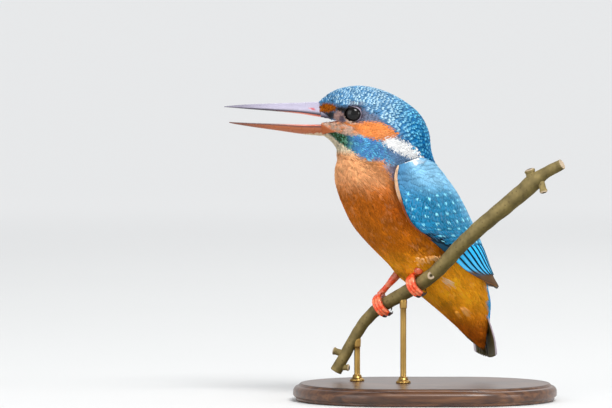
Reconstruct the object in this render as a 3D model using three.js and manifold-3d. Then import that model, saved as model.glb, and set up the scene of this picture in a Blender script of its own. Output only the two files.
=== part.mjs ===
// A life-size museum model of a common kingfisher on a short cut length of branch,
// held above a flat display base by two rods. Millimetres, +Z up. The origin is the
// middle of the base's underside, the bird's bill points along -X, and its left side
// faces -Y.
import * as THREE from 'three';
import { mergeVertices } from 'three/addons/utils/BufferGeometryUtils.js';
import Module from 'manifold-3d';

const wasm = await Module();
wasm.setup();

// ---- driving dimensions -------------------------------------------------------------

const GAP = 0.3; // clearance kept wherever two pieces meet
const TURN = THREE.MathUtils.degToRad(24); // how far the trunk is turned out of the head's plane
const PIVOT = new THREE.Vector2(-12.5, -1.3); // the neck's vertical axis, about which it turns
// Facets round each kind of piece, and rings along it.
const FACETS = {
  body: 24, bill: 10, eye: 12, branch: 10, stub: 8, thigh: 10, tarsus: 9, toe: 6, claw: 5, rod: 12,
};
const RINGS = { perStation: 2, bill: 11, tail: 13, branch: 26, thigh: 6, tarsus: 4, toe: 8, claw: 4 };

// The bird's own outline, from bill to tail. back and front are points [rearward, height] of
// the upper and lower profile, half is the half width there, and turn is the share of TURN.
const STATIONS = [
  { name: 'bill base', back: [-31.2, 125.0], front: [-30.6, 110.9], half: 4.9, turn: 0 },
  { name: 'lores', back: [-26.7, 128.3], front: [-26.9, 108.0], half: 7.7, turn: 0 },
  { name: 'eyes', back: [-21.2, 130.3], front: [-24.6, 105.0], half: 10.1, turn: 0 },
  { name: 'crown', back: [-13.6, 130.9], front: [-24.4, 103.2], half: 11.5, turn: 0 },
  { name: 'hind crown', back: [-5.0, 129.0], front: [-24.4, 101.6], half: 12.1, turn: 0 },
  { name: 'upper nape', back: [3.4, 124.8], front: [-24.6, 99.8], half: 12.5, turn: 0.1 },
  { name: 'nape', back: [10.4, 118.9], front: [-25.0, 97.6], half: 12.9, turn: 0.3 },
  { name: 'lower nape', back: [14.1, 111.4], front: [-25.4, 95.0], half: 13.8, turn: 0.55 },
  { name: 'hind neck', back: [15.1, 103.4], front: [-25.6, 91.8], half: 15.4, turn: 0.8 },
  { name: 'mantle', back: [18.6, 95.2], front: [-24.5, 87.2], half: 17.0, turn: 0.95 },
  { name: 'breast', back: [25.0, 86.0], front: [-21.6, 80.2], half: 17.8, turn: 1 },
  { name: 'back', back: [30.8, 75.6], front: [-16.9, 72.0], half: 17.8, turn: 1 },
  { name: 'belly', back: [35.4, 65.4], front: [-8.8, 63.4], half: 16.9, turn: 1 },
  { name: 'rump', back: [38.6, 56.4], front: [0.8, 54.6], half: 15.0, turn: 1 },
  { name: 'lower rump', back: [40.9, 48.4], front: [11.0, 44.8], half: 12.6, turn: 1 },
  { name: 'vent', back: [42.9, 40.4], front: [20.2, 37.4], half: 10.2, turn: 1 },
  { name: 'under tail', back: [42.6, 32.6], front: [28.4, 30.6], half: 7.8, turn: 1 },
  { name: 'tail coverts', back: [41.2, 25.2], front: [35.0, 24.4], half: 4.9, turn: 1 },
  { name: 'covert tips', back: [41.6, 20.8], front: [40.1, 20.4], half: 1.6, turn: 1 },
];
const SECTION_POWER = 2.25; // 2 is an ellipse, and more is squarer
const NECK_CUT = 6.5; // stations at which the body is parted into its named lengths
const TRUNK_CUT = 8.6;
const RUMP_CUT = 13.3;

const EYE = { x: -29.9, height: 119.2, apart: 15.0, radius: 4.1, socket: 4.5, socketDepth: 1.5 };

// Each half of the bill, from its root inside the head to its tip: the upper and lower edge
// seen from the side, and the half width.
const BILL_UPPER = [
  { x: -36.0, top: 123.6, bottom: 117.0, half: 4.5 },
  { x: -44.5, top: 124.3, bottom: 118.1, half: 4.3 },
  { x: -52.0, top: 124.0, bottom: 119.3, half: 3.5 },
  { x: -62.0, top: 123.7, bottom: 120.3, half: 2.6 },
  { x: -73.0, top: 123.3, bottom: 121.2, half: 1.7 },
  { x: -81.0, top: 122.7, bottom: 121.9, half: 0.8 },
  { x: -83.6, top: 122.4, bottom: 122.1, half: 0.3 },
];
const BILL_LOWER = [
  { x: -36.0, top: 114.9, bottom: 109.9, half: 4.3 },
  { x: -44.0, top: 114.9, bottom: 110.3, half: 4.0 },
  { x: -52.0, top: 114.9, bottom: 111.0, half: 3.3 },
  { x: -61.0, top: 115.2, bottom: 112.3, half: 2.4 },
  { x: -71.0, top: 115.5, bottom: 113.7, half: 1.6 },
  { x: -79.0, top: 115.8, bottom: 115.0, half: 0.8 },
  { x: -81.6, top: 115.9, bottom: 115.6, half: 0.3 },
];
// The share of each half's height below its widest line, and how much the ridge narrows it.
const BILL_FORM = { edgeShare: 0.18, ridgeNarrows: 0.3 };
// The corner of the mouth, and the slopes of the opening above and below it.
const GAPE = { x: -35.5, height: 116.2, above: 0.19, below: 0.085 };

// A folded wing lies on the body between two angles measured from the middle of the back. Both
// are given at stations from the shoulder to the wing tip, with the height of its two faces.
const WING = [
  { station: 7.9, upper: 62, lower: 88, inner: 0.45, outer: 1.2 },
  { station: 8.4, upper: 42, lower: 94, inner: 0.45, outer: 1.5 },
  { station: 9.1, upper: 28, lower: 100, inner: 0.45, outer: 1.9 },
  { station: 9.8, upper: 22, lower: 104, inner: 0.45, outer: 2.2 },
  { station: 10.5, upper: 20, lower: 106, inner: 0.45, outer: 2.3 },
  { station: 11.1, upper: 19, lower: 104, inner: 0.45, outer: 2.3 },
  { station: 11.8, upper: 17, lower: 94, inner: 0.5, outer: 2.6 },
  { station: 12.5, upper: 15, lower: 88, inner: 0.6, outer: 3.0 },
  { station: 13.2, upper: 13, lower: 79, inner: 1.0, outer: 3.3 },
  { station: 13.8, upper: 12, lower: 58, inner: 2.0, outer: 4.0 },
  { station: 14.25, upper: 10, lower: 26, inner: 3.4, outer: 5.0 },
];
const FLIGHT_CUT = 12; // station at which the wing coverts end and the flight feathers go on
// Rings along the wing, points across it, and how its outer face rounds over to its edges.
const WING_FORM = { along: 17, across: 7, edgeThick: 0.6, round: 0.5, edgeShare: 0.08 };

// The tail: its middle line [rearward, height] from root to tip, its half width, and how far
// its edges droop below the middle.
const TAIL = [
  { at: [37.8, 41.0], half: 5.6, droop: 0.6 },
  { at: [40.1, 34.5], half: 7.6, droop: 1.0 },
  { at: [41.7, 28.5], half: 9.6, droop: 1.6 },
  { at: [42.7, 23.3], half: 11.0, droop: 2.0 },
  { at: [43.2, 19.2], half: 9.4, droop: 1.6 },
  { at: [43.3, 16.6], half: 4.2, droop: 0.4 },
];
const TAIL_FORM = { thick: 1.3, across: 8 };

// The branch: middle line [x, y, z] and radius, from its lower cut end to its upper one.
const PERCH = [
  { at: [-37.0, 14.0, 11.0], radius: 2.5 },
  { at: [-33.2, 13.1, 17.8], radius: 2.35 },
  { at: [-30.0, 12.2, 24.0], radius: 2.3 },
  { at: [-24.6, 10.2, 32.4], radius: 2.5 },
  { at: [-18.6, 6.9, 38.2], radius: 2.7 },
  { at: [-8.3, -1.2, 44.8], radius: 2.9 },
  { at: [1.6, -9.3, 51.6], radius: 2.95 },
  { at: [7.9, -13.8, 57.8], radius: 3.0 },
  { at: [14.0, -17.8, 64.8], radius: 3.1 },
  { at: [22.1, -22.6, 72.8], radius: 3.2 },
  { at: [31.0, -27.8, 80.6], radius: 3.35 },
  { at: [38.1, -31.6, 86.8], radius: 3.5 },
  { at: [43.8, -34.2, 92.0], radius: 3.4 },
  { at: [47.8, -36.0, 95.3], radius: 2.5 },
  { at: [54.9, -39.5, 99.4], radius: 2.2 },
];
// Twig stubs on the branch: place along it (0 to 1), the way they point, length and radii.
const STUBS = [
  { name: 'top scar', along: 0.855, way: [-0.35, -0.1, 1], length: 5.2, root: 2.7, tip: 2.0 },
  { name: 'hanging twig', along: 0.9, way: [0.25, -0.3, -1], length: 6.6, root: 1.6, tip: 1.4 },
  { name: 'scar by the left foot', along: 0.43, way: [0.1, -1, 0.2], length: 3.9, root: 1.9, tip: 1.5 },
  { name: 'lower bud', along: 0.075, way: [-1, 0.1, 0.3], length: 5.2, root: 1.5, tip: 1.4 },
  { name: 'lowest bud', along: 0.018, way: [1, -0.35, -0.05], length: 4.6, root: 1.4, tip: 1.2 },
];

// The feet, by the place along the branch that each one grips.
const FEET = [
  { side: 'right', along: 0.299, ankle: [-12.0, 7.4, 51.2], hip: [-4.4, 10.6, 60.0] },
  { side: 'left', along: 0.393, ankle: [-2.8, -8.6, 54.4], hip: [4.2, -7.6, 61.0] },
];
// ring is the radius that the toes' middles follow round the branch, apart is from toe to toe,
// and together is the share of that left at the sole, which they reach after spread of their run.
const TOE = { ring: 4.45, root: 1.25, tip: 0.9, apart: 1.75, together: 0.45, spread: 0.4 };
// The toes by name: place across the foot, and where on the round of the branch each one starts
// and ends, in degrees from its top towards the bird's front.
const TOES = [
  { name: 'inner', across: -1, from: -12, to: 150 },
  { name: 'middle', across: 0, from: -12, to: 168 },
  { name: 'outer', across: 1, from: -12, to: 158 },
  { name: 'hind', across: -0.2, from: 4, to: -82 },
];
const CLAW = { clear: 6, sweep: 42, root: 0.8, tip: 0.15, arch: 0.5 };
const TARSUS = { radius: 1.45, waist: 0.25, stands: 0.4, past: 1.02 };
const THIGH = { hip: 4.7, ankle: 1.8, swell: 0.8 };

const BASE = { length: 110, width: 80, thick: 7, corner: 40, bevel: 1.0 };
const RODS = [
  { name: 'stand_rod_low', along: 0.17, radius: 1.25 },
  { name: 'stand_rod_high', along: 0.352, radius: 1.25 },
];

// ---- colours ------------------------------------------------------------------------

const paint = (color, roughness = 0.8, metalness = 0) =>
  new THREE.MeshStandardMaterial({ color, roughness, metalness });
const PAINT = {
  crown: paint(0x4f93b8, 0.6),
  neck: paint(0x4f86b5, 0.7),
  breast: paint(0xc06a26),
  vent: paint(0xc8831c),
  wing: paint(0x2f8fc0, 0.55),
  flight: paint(0x3c9bd6, 0.5),
  tail: paint(0x4a5058, 0.6),
  billUpper: paint(0xb9b2c0, 0.35),
  billLower: paint(0xa8552c, 0.4),
  eye: paint(0x15100e, 0.08),
  foot: paint(0xe2561f, 0.5),
  claw: paint(0x3a2b28, 0.4),
  bark: paint(0x857045, 0.85),
  base: paint(0x3b2a20, 0.45),
  rod: paint(0xb08d4f, 0.3, 1),
};

// ---- curves and closed surfaces ------------------------------------------------------

// Smooth value through a list of equal-length number arrays, at t from 0 to its last index.
function through(values, t) {
  const last = values.length - 1;
  const i = Math.min(Math.max(Math.floor(t), 0), last - 1);
  const f = t - i;
  const pick = (k, c) => {
    if (k < 0) return 2 * values[0][c] - values[1][c];
    if (k > last) return 2 * values[last][c] - values[last - 1][c];
    return values[k][c];
  };
  return values[0].map((_, c) => {
    const [a, b, d, e] = [pick(i - 1, c), pick(i, c), pick(i + 1, c), pick(i + 2, c)];
    return 0.5 * (2 * b + (d - a) * f + (2 * a - 5 * b + 4 * d - e) * f * f
      + (3 * b - 3 * d + e - a) * f * f * f);
  });
}

// n values of make over the shares 0 to 1, and n values over the angles of one turn.
const steps = (n, make) => Array.from({ length: n }, (_, i) => make(i / (n - 1)));
const round = (n, make) => Array.from({ length: n }, (_, i) => make((i / n) * 2 * Math.PI));

// A closed surface over rings of equally many points, with a flat fan at each end.
function overRings(rings) {
  const count = rings[0].length;
  const points = rings.flat();
  const faces = [];
  for (let r = 0; r + 1 < rings.length; r++)
    for (let k = 0; k < count; k++) {
      const a = r * count + k;
      const b = r * count + ((k + 1) % count);
      faces.push(a, b, b + count, a, b + count, a + count);
    }
  for (const [ring, turned] of [[0, true], [rings.length - 1, false]]) {
    const centre = new THREE.Vector3();
    rings[ring].forEach((p) => centre.addScaledVector(p, 1 / count));
    points.push(centre);
    for (let k = 0; k < count; k++) {
      const a = ring * count + k;
      const b = ring * count + ((k + 1) % count);
      faces.push(...(turned ? [points.length - 1, b, a] : [points.length - 1, a, b]));
    }
  }
  const geometry = new THREE.BufferGeometry().setFromPoints(points);
  geometry.setIndex(faces);
  return geometry;
}

// A three.js geometry as a manifold-3d solid, turned outwards if it came inside out.
function solid(geometry) {
  const bare = geometry.clone();
  bare.deleteAttribute('normal');
  bare.deleteAttribute('uv');
  const merged = mergeVertices(bare, 1e-4);
  const vertProperties = new Float32Array(merged.attributes.position.array);
  const index = Array.from(merged.index.array);
  const make = (list) =>
    new wasm.Manifold(new wasm.Mesh({ numProp: 3, vertProperties, triVerts: new Uint32Array(list) }));
  const made = make(index);
  if (made.volume() > 0) return made;
  const turned = [];
  for (let i = 0; i < index.length; i += 3) turned.push(index[i], index[i + 2], index[i + 1]);
  return make(turned);
}

// A manifold-3d solid back as a three.js mesh. Of several bodies the largest is the piece.
function meshOf(made, name, material) {
  const bodies = made.decompose();
  const main = bodies.reduce((a, b) => (b.volume() > a.volume() ? b : a));
  const { vertProperties, triVerts, numProp } = main.getMesh();
  const position = new Float32Array((vertProperties.length / numProp) * 3);
  for (let i = 0; i * 3 < position.length; i++)
    position.set(vertProperties.subarray(i * numProp, i * numProp + 3), i * 3);
  const geometry = new THREE.BufferGeometry();
  geometry.setAttribute('position', new THREE.BufferAttribute(position, 3));
  geometry.setIndex(new THREE.BufferAttribute(triVerts, 1));
  const mesh = new THREE.Mesh(geometry, material);
  mesh.name = name;
  return mesh;
}

// ---- the body -------------------------------------------------------------------------

// A point given by how far it lies rearward, to the bird's left, and up, at a share of TURN.
function place(rearward, left, up, turn) {
  const a = turn * TURN;
  return new THREE.Vector3(
    PIVOT.x + rearward * Math.cos(a) + left * Math.sin(a),
    PIVOT.y + rearward * Math.sin(a) - left * Math.cos(a),
    up,
  );
}

const stationValues = STATIONS.map((s) => [...s.back, ...s.front, s.half, s.turn]);

// The body's surface at a station and an angle from the middle of the back, positive to the
// left, raised by lift. Each section is a superellipse across the line from back to front.
function bodyPoint(station, angle, lift = 0) {
  const [bs, bz, fs, fz, half, turn] = through(stationValues, station);
  const deep = Math.hypot(bs - fs, bz - fz) / 2;
  const fuller = (v) => Math.sign(v) * Math.abs(v) ** (2 / SECTION_POWER);
  const backward = (fuller(Math.cos(angle)) * (deep + lift)) / deep;
  const left = fuller(Math.sin(angle)) * (half + lift);
  return place(
    (bs + fs + backward * (bs - fs)) / 2, left, (bz + fz + backward * (bz - fz)) / 2, turn,
  );
}

function bodySolid(lift = 0) {
  const last = STATIONS.length - 1;
  return solid(overRings(steps(last * RINGS.perStation + 1, (t) =>
    round(FACETS.body, (angle) => bodyPoint(t * last, angle, lift)))));
}

// The plane of a station, as the normal pointing tailwards and its distance from the origin.
function stationPlane(station) {
  const back = bodyPoint(station, 0);
  const front = bodyPoint(station, Math.PI);
  const side = bodyPoint(station, Math.PI / 2).sub(bodyPoint(station, -Math.PI / 2));
  const normal = side.cross(back.clone().sub(front)).normalize();
  if (normal.z > 0) normal.negate();
  return { normal, offset: normal.dot(back) };
}

// The length of a solid between two such planes, short of each by half a gap.
function between(made, from, to) {
  let part = made;
  if (from) part = part.trimByPlane(from.normal.toArray(), from.offset + GAP / 2);
  if (to) part = part.trimByPlane(to.normal.clone().negate().toArray(), -(to.offset - GAP / 2));
  return part;
}

// ---- bill, mouth and eyes ---------------------------------------------------------------

// One half of the bill: sections with a rounded ridge and a flat cutting edge. ridge is 1
// where the ridge is on top and -1 where it is below, and grow makes it larger all round.
function billHalf(table, ridge, grow = 0) {
  const values = table.map((s) => [s.x, s.top, s.bottom, s.half]);
  const { edgeShare, ridgeNarrows } = BILL_FORM;
  return solid(overRings(steps(RINGS.bill, (t) => {
    const [x, top, bottom, half] = through(values, t * (table.length - 1));
    const outer = (ridge > 0 ? top : bottom) + ridge * grow;
    const edge = (ridge > 0 ? bottom : top) - ridge * grow;
    return round(FACETS.bill, (angle) => {
      const up = Math.cos(angle);
      const narrowed = up > 0 ? 1 - up * up * ridgeNarrows : 1;
      const share = edgeShare + up * (up > 0 ? 1 - edgeShare : edgeShare);
      const across = Math.sin(angle) * (half + grow) * narrowed;
      return new THREE.Vector3(x + grow * (1 - 2 * t), PIVOT.y + across, edge + (outer - edge) * share);
    });
  })));
}

// The open mouth's wedge, cut out of the head back to the corner of the mouth.
function gapeSolid() {
  const reach = 16;
  const wide = 30;
  const shape = new THREE.Shape();
  shape.moveTo(GAPE.x, GAPE.height);
  shape.lineTo(GAPE.x - reach, GAPE.height + reach * GAPE.above);
  shape.lineTo(GAPE.x - reach, GAPE.height - reach * GAPE.below);
  const geometry = new THREE.ExtrudeGeometry(shape, { depth: wide, bevelEnabled: false });
  geometry.rotateX(Math.PI / 2).translate(0, wide / 2, 0);
  return solid(geometry);
}

const eyeCentre = (side) =>
  new THREE.Vector3(EYE.x, PIVOT.y - (side * EYE.apart) / 2, EYE.height);

function eyeSolid(side, grow = 0) {
  const geometry = new THREE.SphereGeometry(EYE.radius + grow, FACETS.eye, FACETS.eye - 4);
  geometry.translate(...eyeCentre(side).toArray());
  return solid(geometry);
}

// A shallow dish round the eye, where the feathers leave the lids bare.
function socketSolid(side) {
  const geometry = new THREE.SphereGeometry(1, 10, 6);
  geometry.scale(EYE.socket, EYE.socketDepth * 2, EYE.socket);
  const { x, y, z } = eyeCentre(side);
  geometry.translate(x, y - side * (EYE.radius + EYE.socketDepth), z);
  return solid(geometry);
}

// ---- wings and tail ------------------------------------------------------------------------

const wingValues = WING.map((w) => [w.station, w.upper, w.lower, w.inner, w.outer]);

// A folded wing as a closed shell: its outer face out to the edge, then the inner face back.
// The outer face bulges between the two edges, and the shell is thinnest along them.
function wingSolid(side) {
  const { along, across, edgeThick, round: power, edgeShare } = WING_FORM;
  return solid(overRings(steps(along, (t) => {
    const [station, upper, lower, inner, outer] = through(wingValues, t * (WING.length - 1));
    const point = (share, height) => {
      const angle = THREE.MathUtils.degToRad(upper + (lower - upper) * share);
      return bodyPoint(station, side * angle, height);
    };
    const edge = inner + edgeThick;
    const bulge = (share) => Math.sin(Math.PI * (edgeShare + (1 - 2 * edgeShare) * share)) ** power;
    const outside = steps(across, (share) => point(share, edge + (outer - edge) * bulge(share)));
    const inside = steps(across, (share) => point(1 - share, inner));
    return [...outside, ...inside];
  })));
}

const tailValues = TAIL.map((s) => [...s.at, s.half, s.droop]);

// The closed tail as one arched blade.
function tailSolid(grow = 0) {
  const thick = TAIL_FORM.thick / 2 + grow;
  return solid(overRings(steps(RINGS.tail, (t) => {
    const [rearward, up, half, droop] = through(tailValues, t * (TAIL.length - 1));
    const point = (share, raised) =>
      place(rearward - droop * share * share + raised, share * (half + grow), up - t * grow, 1);
    const above = steps(TAIL_FORM.across, (share) => point(1 - 2 * share, thick));
    const below = steps(TAIL_FORM.across, (share) => point(2 * share - 1, -thick));
    return [...above, ...below];
  })));
}

// ---- branch, feet and stand --------------------------------------------------------------

const perchValues = PERCH.map((s) => [...s.at, s.radius]);
const UP = new THREE.Vector3(0, 0, 1);
const REARWARD = new THREE.Vector3(1, 0, 0);

// The branch's middle, its direction, and the square directions to its top and its front.
function perchFrame(along) {
  const at = (t) => through(perchValues, Math.min(Math.max(t, 0), 1) * (PERCH.length - 1));
  const vector = (values) => new THREE.Vector3(...values.slice(0, 3));
  const axis = vector(at(along + 0.01)).sub(vector(at(along - 0.01))).normalize();
  const top = UP.clone().addScaledVector(axis, -UP.dot(axis)).normalize();
  const front = axis.clone().cross(top);
  return { middle: vector(at(along)), axis, top, front, radius: at(along)[3] };
}

// A ring of points about a middle, from its two square directions and its radius.
const ringAt = (middle, u, v, radius, facets) =>
  round(facets, (angle) => middle.clone()
    .addScaledVector(u, radius * Math.cos(angle))
    .addScaledVector(v, radius * Math.sin(angle)));

// A tube of round sections through a list of { at, radius }, with its ends closed flat.
function tube(sections, facets) {
  return solid(overRings(sections.map(({ at, radius }, i) => {
    const ahead = sections[Math.min(i + 1, sections.length - 1)].at;
    const behind = sections[Math.max(i - 1, 0)].at;
    const axis = ahead.clone().sub(behind).normalize();
    const lean = Math.abs(axis.z) > 0.9 ? REARWARD : UP;
    const u = lean.clone().addScaledVector(axis, -lean.dot(axis)).normalize();
    return ringAt(at, u, axis.clone().cross(u), radius, facets);
  })));
}

function perchSolid(grow = 0) {
  const branch = solid(overRings(steps(RINGS.branch, (t) => {
    const { middle, top, front, radius } = perchFrame(t);
    return ringAt(middle, top, front, radius + grow, FACETS.branch);
  })));
  return STUBS.reduce((made, stub) => {
    const { middle } = perchFrame(stub.along);
    const way = new THREE.Vector3(...stub.way).normalize();
    const end = middle.clone().addScaledVector(way, stub.length + grow);
    const sections = [{ at: middle, radius: stub.root + grow }, { at: end, radius: stub.tip + grow }];
    return made.add(tube(sections, FACETS.stub));
  }, branch);
}

// A point on the round of the branch near a foot: across is along the branch, in toe widths.
function gripPoint(foot, across, degrees, reach) {
  const frame = perchFrame(foot.along);
  const a = THREE.MathUtils.degToRad(degrees);
  return frame.middle.clone()
    .addScaledVector(frame.axis, across * TOE.apart)
    .addScaledVector(frame.top, reach * Math.cos(a))
    .addScaledVector(frame.front, reach * Math.sin(a));
}

// A toe follows the round of the branch, and the toes draw together at the sole.
function toeSolid(foot, toe, grow = 0) {
  return tube(steps(RINGS.toe, (t) => {
    const apart = TOE.together + (1 - TOE.together) * Math.min(1, t / TOE.spread);
    const degrees = toe.from + (toe.to - toe.from) * t;
    return {
      at: gripPoint(foot, toe.across * apart, degrees, TOE.ring),
      radius: TOE.root + (TOE.tip - TOE.root) * t + grow,
    };
  }), FACETS.toe);
}

function clawSolid(foot, toe, grow = 0) {
  const way = Math.sign(toe.to - toe.from);
  return tube(steps(RINGS.claw, (t) => {
    const degrees = toe.to + way * (CLAW.clear + CLAW.sweep * t);
    return {
      at: gripPoint(foot, toe.across, degrees, TOE.ring + CLAW.arch * Math.sin(Math.PI * t)),
      radius: CLAW.root + (CLAW.tip - CLAW.root) * t + grow,
    };
  }), FACETS.claw);
}

// The bare shank runs from the sole, on top of the branch, up to the ankle.
function tarsusSolid(foot, grow = 0) {
  const low = gripPoint(foot, 0, TOES[1].from / 2, TOE.ring + TARSUS.stands);
  const high = new THREE.Vector3(...foot.ankle);
  return tube(steps(RINGS.tarsus, (t) => ({
    at: low.clone().lerp(high, t * TARSUS.past),
    radius: TARSUS.radius - TARSUS.waist * Math.sin(Math.PI * t) + grow,
  })), FACETS.tarsus);
}

// The feathered thigh tapers from the belly down to the ankle.
function thighSolid(foot) {
  const high = new THREE.Vector3(...foot.hip);
  const low = new THREE.Vector3(...foot.ankle);
  return tube(steps(RINGS.thigh, (t) => ({
    at: high.clone().lerp(low, t),
    radius: THIGH.ankle + (THIGH.hip - THIGH.ankle) * (1 - t) ** THIGH.swell,
  })), FACETS.thigh);
}

function baseGeometry() {
  const { length, width, thick, corner, bevel } = BASE;
  const [x, y, r] = [length / 2 - bevel, width / 2 - bevel, corner - bevel];
  const shape = new THREE.Shape();
  shape.moveTo(x, y - r);
  shape.absarc(x - r, y - r, r, 0, Math.PI / 2);
  shape.absarc(r - x, y - r, r, Math.PI / 2, Math.PI);
  shape.absarc(r - x, r - y, r, Math.PI, 1.5 * Math.PI);
  shape.absarc(x - r, r - y, r, 1.5 * Math.PI, 2 * Math.PI);
  const geometry = new THREE.ExtrudeGeometry(shape, {
    depth: thick - 2 * bevel, bevelThickness: bevel, bevelSize: bevel, bevelSegments: 1, curveSegments: 8,
  });
  geometry.translate(0, 0, bevel);
  return geometry;
}

function rodSolid(rod) {
  const { middle } = perchFrame(rod.along);
  const low = BASE.thick + GAP;
  const geometry = new THREE.CylinderGeometry(rod.radius, rod.radius, middle.z - low, FACETS.rod);
  geometry.rotateX(Math.PI / 2).translate(middle.x, middle.y, (middle.z + low) / 2);
  return solid(geometry);
}

// ---- the model --------------------------------------------------------------------------

const group = new THREE.Group();
const add = (made, name, material) => group.add(meshOf(made, name, material));
const SIDES = [['left', 1], ['right', -1]];

// Branch and stand.
const perchRoom = perchSolid(GAP);
add(perchSolid(), 'perch', PAINT.bark);
add(solid(baseGeometry()), 'stand_base', PAINT.base);
for (const rod of RODS) add(rodSolid(rod).subtract(perchRoom), rod.name, PAINT.rod);

// Feet: tarsus and toes are one piece, and each claw is its own.
const bodyRoom = bodySolid(GAP);
let feetRoom = perchRoom;
for (const foot of FEET) {
  const tarsus = tarsusSolid(foot).subtract(bodyRoom);
  const whole = TOES.reduce((made, toe) => made.add(toeSolid(foot, toe)), tarsus);
  for (const toe of TOES) {
    add(clawSolid(foot, toe).subtract(perchRoom), `claw_${foot.side}_${toe.name}`, PAINT.claw);
    feetRoom = feetRoom.add(toeSolid(foot, toe, GAP)).add(clawSolid(foot, toe, GAP));
  }
  add(whole.subtract(perchRoom), `foot_${foot.side}`, PAINT.foot);
  const thigh = thighSolid(foot).subtract(bodyRoom).subtract(tarsusSolid(foot, GAP));
  add(thigh.subtract(feetRoom), `thigh_${foot.side}`, PAINT.breast);
}

// Tail, bill, eyes.
add(tailSolid(), 'tail', PAINT.tail);
add(billHalf(BILL_UPPER, 1), 'bill_upper', PAINT.billUpper);
add(billHalf(BILL_LOWER, -1), 'bill_lower', PAINT.billLower);
for (const [name, side] of SIDES) add(eyeSolid(side), `eye_${name}`, PAINT.eye);

// The body, parted into head, neck, trunk and rump.
const headCuts = [
  gapeSolid(), billHalf(BILL_UPPER, 1, GAP), billHalf(BILL_LOWER, -1, GAP),
  ...SIDES.map(([, side]) => eyeSolid(side, GAP)), ...SIDES.map(([, side]) => socketSolid(side)),
];
const body = bodySolid().subtract(tailSolid(GAP)).subtract(feetRoom);
const [neckPlane, trunkPlane, rumpPlane] = [NECK_CUT, TRUNK_CUT, RUMP_CUT].map(stationPlane);
const head = headCuts.reduce((a, b) => a.subtract(b), between(body, null, neckPlane));
add(head, 'head', PAINT.crown);
add(between(body, neckPlane, trunkPlane), 'neck', PAINT.neck);
add(between(body, trunkPlane, rumpPlane), 'trunk', PAINT.breast);
add(between(body, rumpPlane, null), 'rump', PAINT.vent);

// Wings, each parted into its coverts and its flight feathers.
const flightPlane = stationPlane(FLIGHT_CUT);
for (const [name, side] of SIDES) {
  const wing = wingSolid(side).subtract(feetRoom);
  add(between(wing, null, flightPlane), `wing_${name}_coverts`, PAINT.wing);
  add(between(wing, flightPlane, null), `wing_${name}_flight`, PAINT.flight);
}

export default group;
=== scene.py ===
"""Builds the looks of a life-size museum model of a common kingfisher gripping a cut branch.

Lengths and places here are millimetres in the CAD model's own frame, and MM turns them into
Blender's metres when a mesh is made. +Z is up, the bill points along -X, and the bird's left
side faces -Y. The tables of sizes repeat those that the CAD solids were made from.

The body is one surface over `station`, which counts the sections from bill to tail, `angle`,
measured round a section from the middle of the back, positive to the left, and `lift` above it.
Skin, feathers and markings all use that surface, so they fit one another everywhere.
"""

from types import SimpleNamespace

import bpy
import numpy as np
from mathutils import Matrix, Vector
from numpy import (
    arange, array, asarray, clip, concatenate, cos, cross, hypot, interp, linspace, maximum,
    meshgrid, minimum, moveaxis, ones, pi, radians, sign, sin, stack, vstack, zeros,
)
from numpy.random import default_rng


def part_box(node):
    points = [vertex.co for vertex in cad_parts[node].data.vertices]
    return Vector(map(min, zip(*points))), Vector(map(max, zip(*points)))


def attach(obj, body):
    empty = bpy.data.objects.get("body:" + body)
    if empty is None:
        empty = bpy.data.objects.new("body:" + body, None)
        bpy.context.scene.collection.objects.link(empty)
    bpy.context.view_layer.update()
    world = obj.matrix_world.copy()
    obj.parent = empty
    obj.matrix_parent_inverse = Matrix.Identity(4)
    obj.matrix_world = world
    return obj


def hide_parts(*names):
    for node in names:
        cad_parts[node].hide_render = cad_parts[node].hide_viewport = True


bl_info = {
    "name": "Kingfisher model",
    "version": (1, 0, 0),
    "blender": (4, 5, 0),
    "location": "3D View > Sidebar > Kingfisher",
    "description": "Skin, plumage, bill, feet, branch and stand of a kingfisher model",
    "category": "Object",
}

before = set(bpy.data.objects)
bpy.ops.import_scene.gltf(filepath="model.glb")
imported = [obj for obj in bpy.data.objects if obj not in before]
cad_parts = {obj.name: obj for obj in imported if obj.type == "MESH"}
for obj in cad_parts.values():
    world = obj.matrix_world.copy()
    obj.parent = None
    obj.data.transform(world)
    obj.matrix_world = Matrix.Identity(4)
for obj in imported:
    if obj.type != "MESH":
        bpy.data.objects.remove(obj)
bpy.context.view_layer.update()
MM = 0.001
BODY = "root"

# ---- sizes shared with the CAD solids, in millimetres ----

TURN = radians(24)  # how far the trunk is turned out of the head's plane
PIVOT = array([-12.5, -1.3])  # the neck's vertical axis, about which it turns
SECTION_POWER = 2.25  # 2 is an ellipse, and more is squarer

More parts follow.
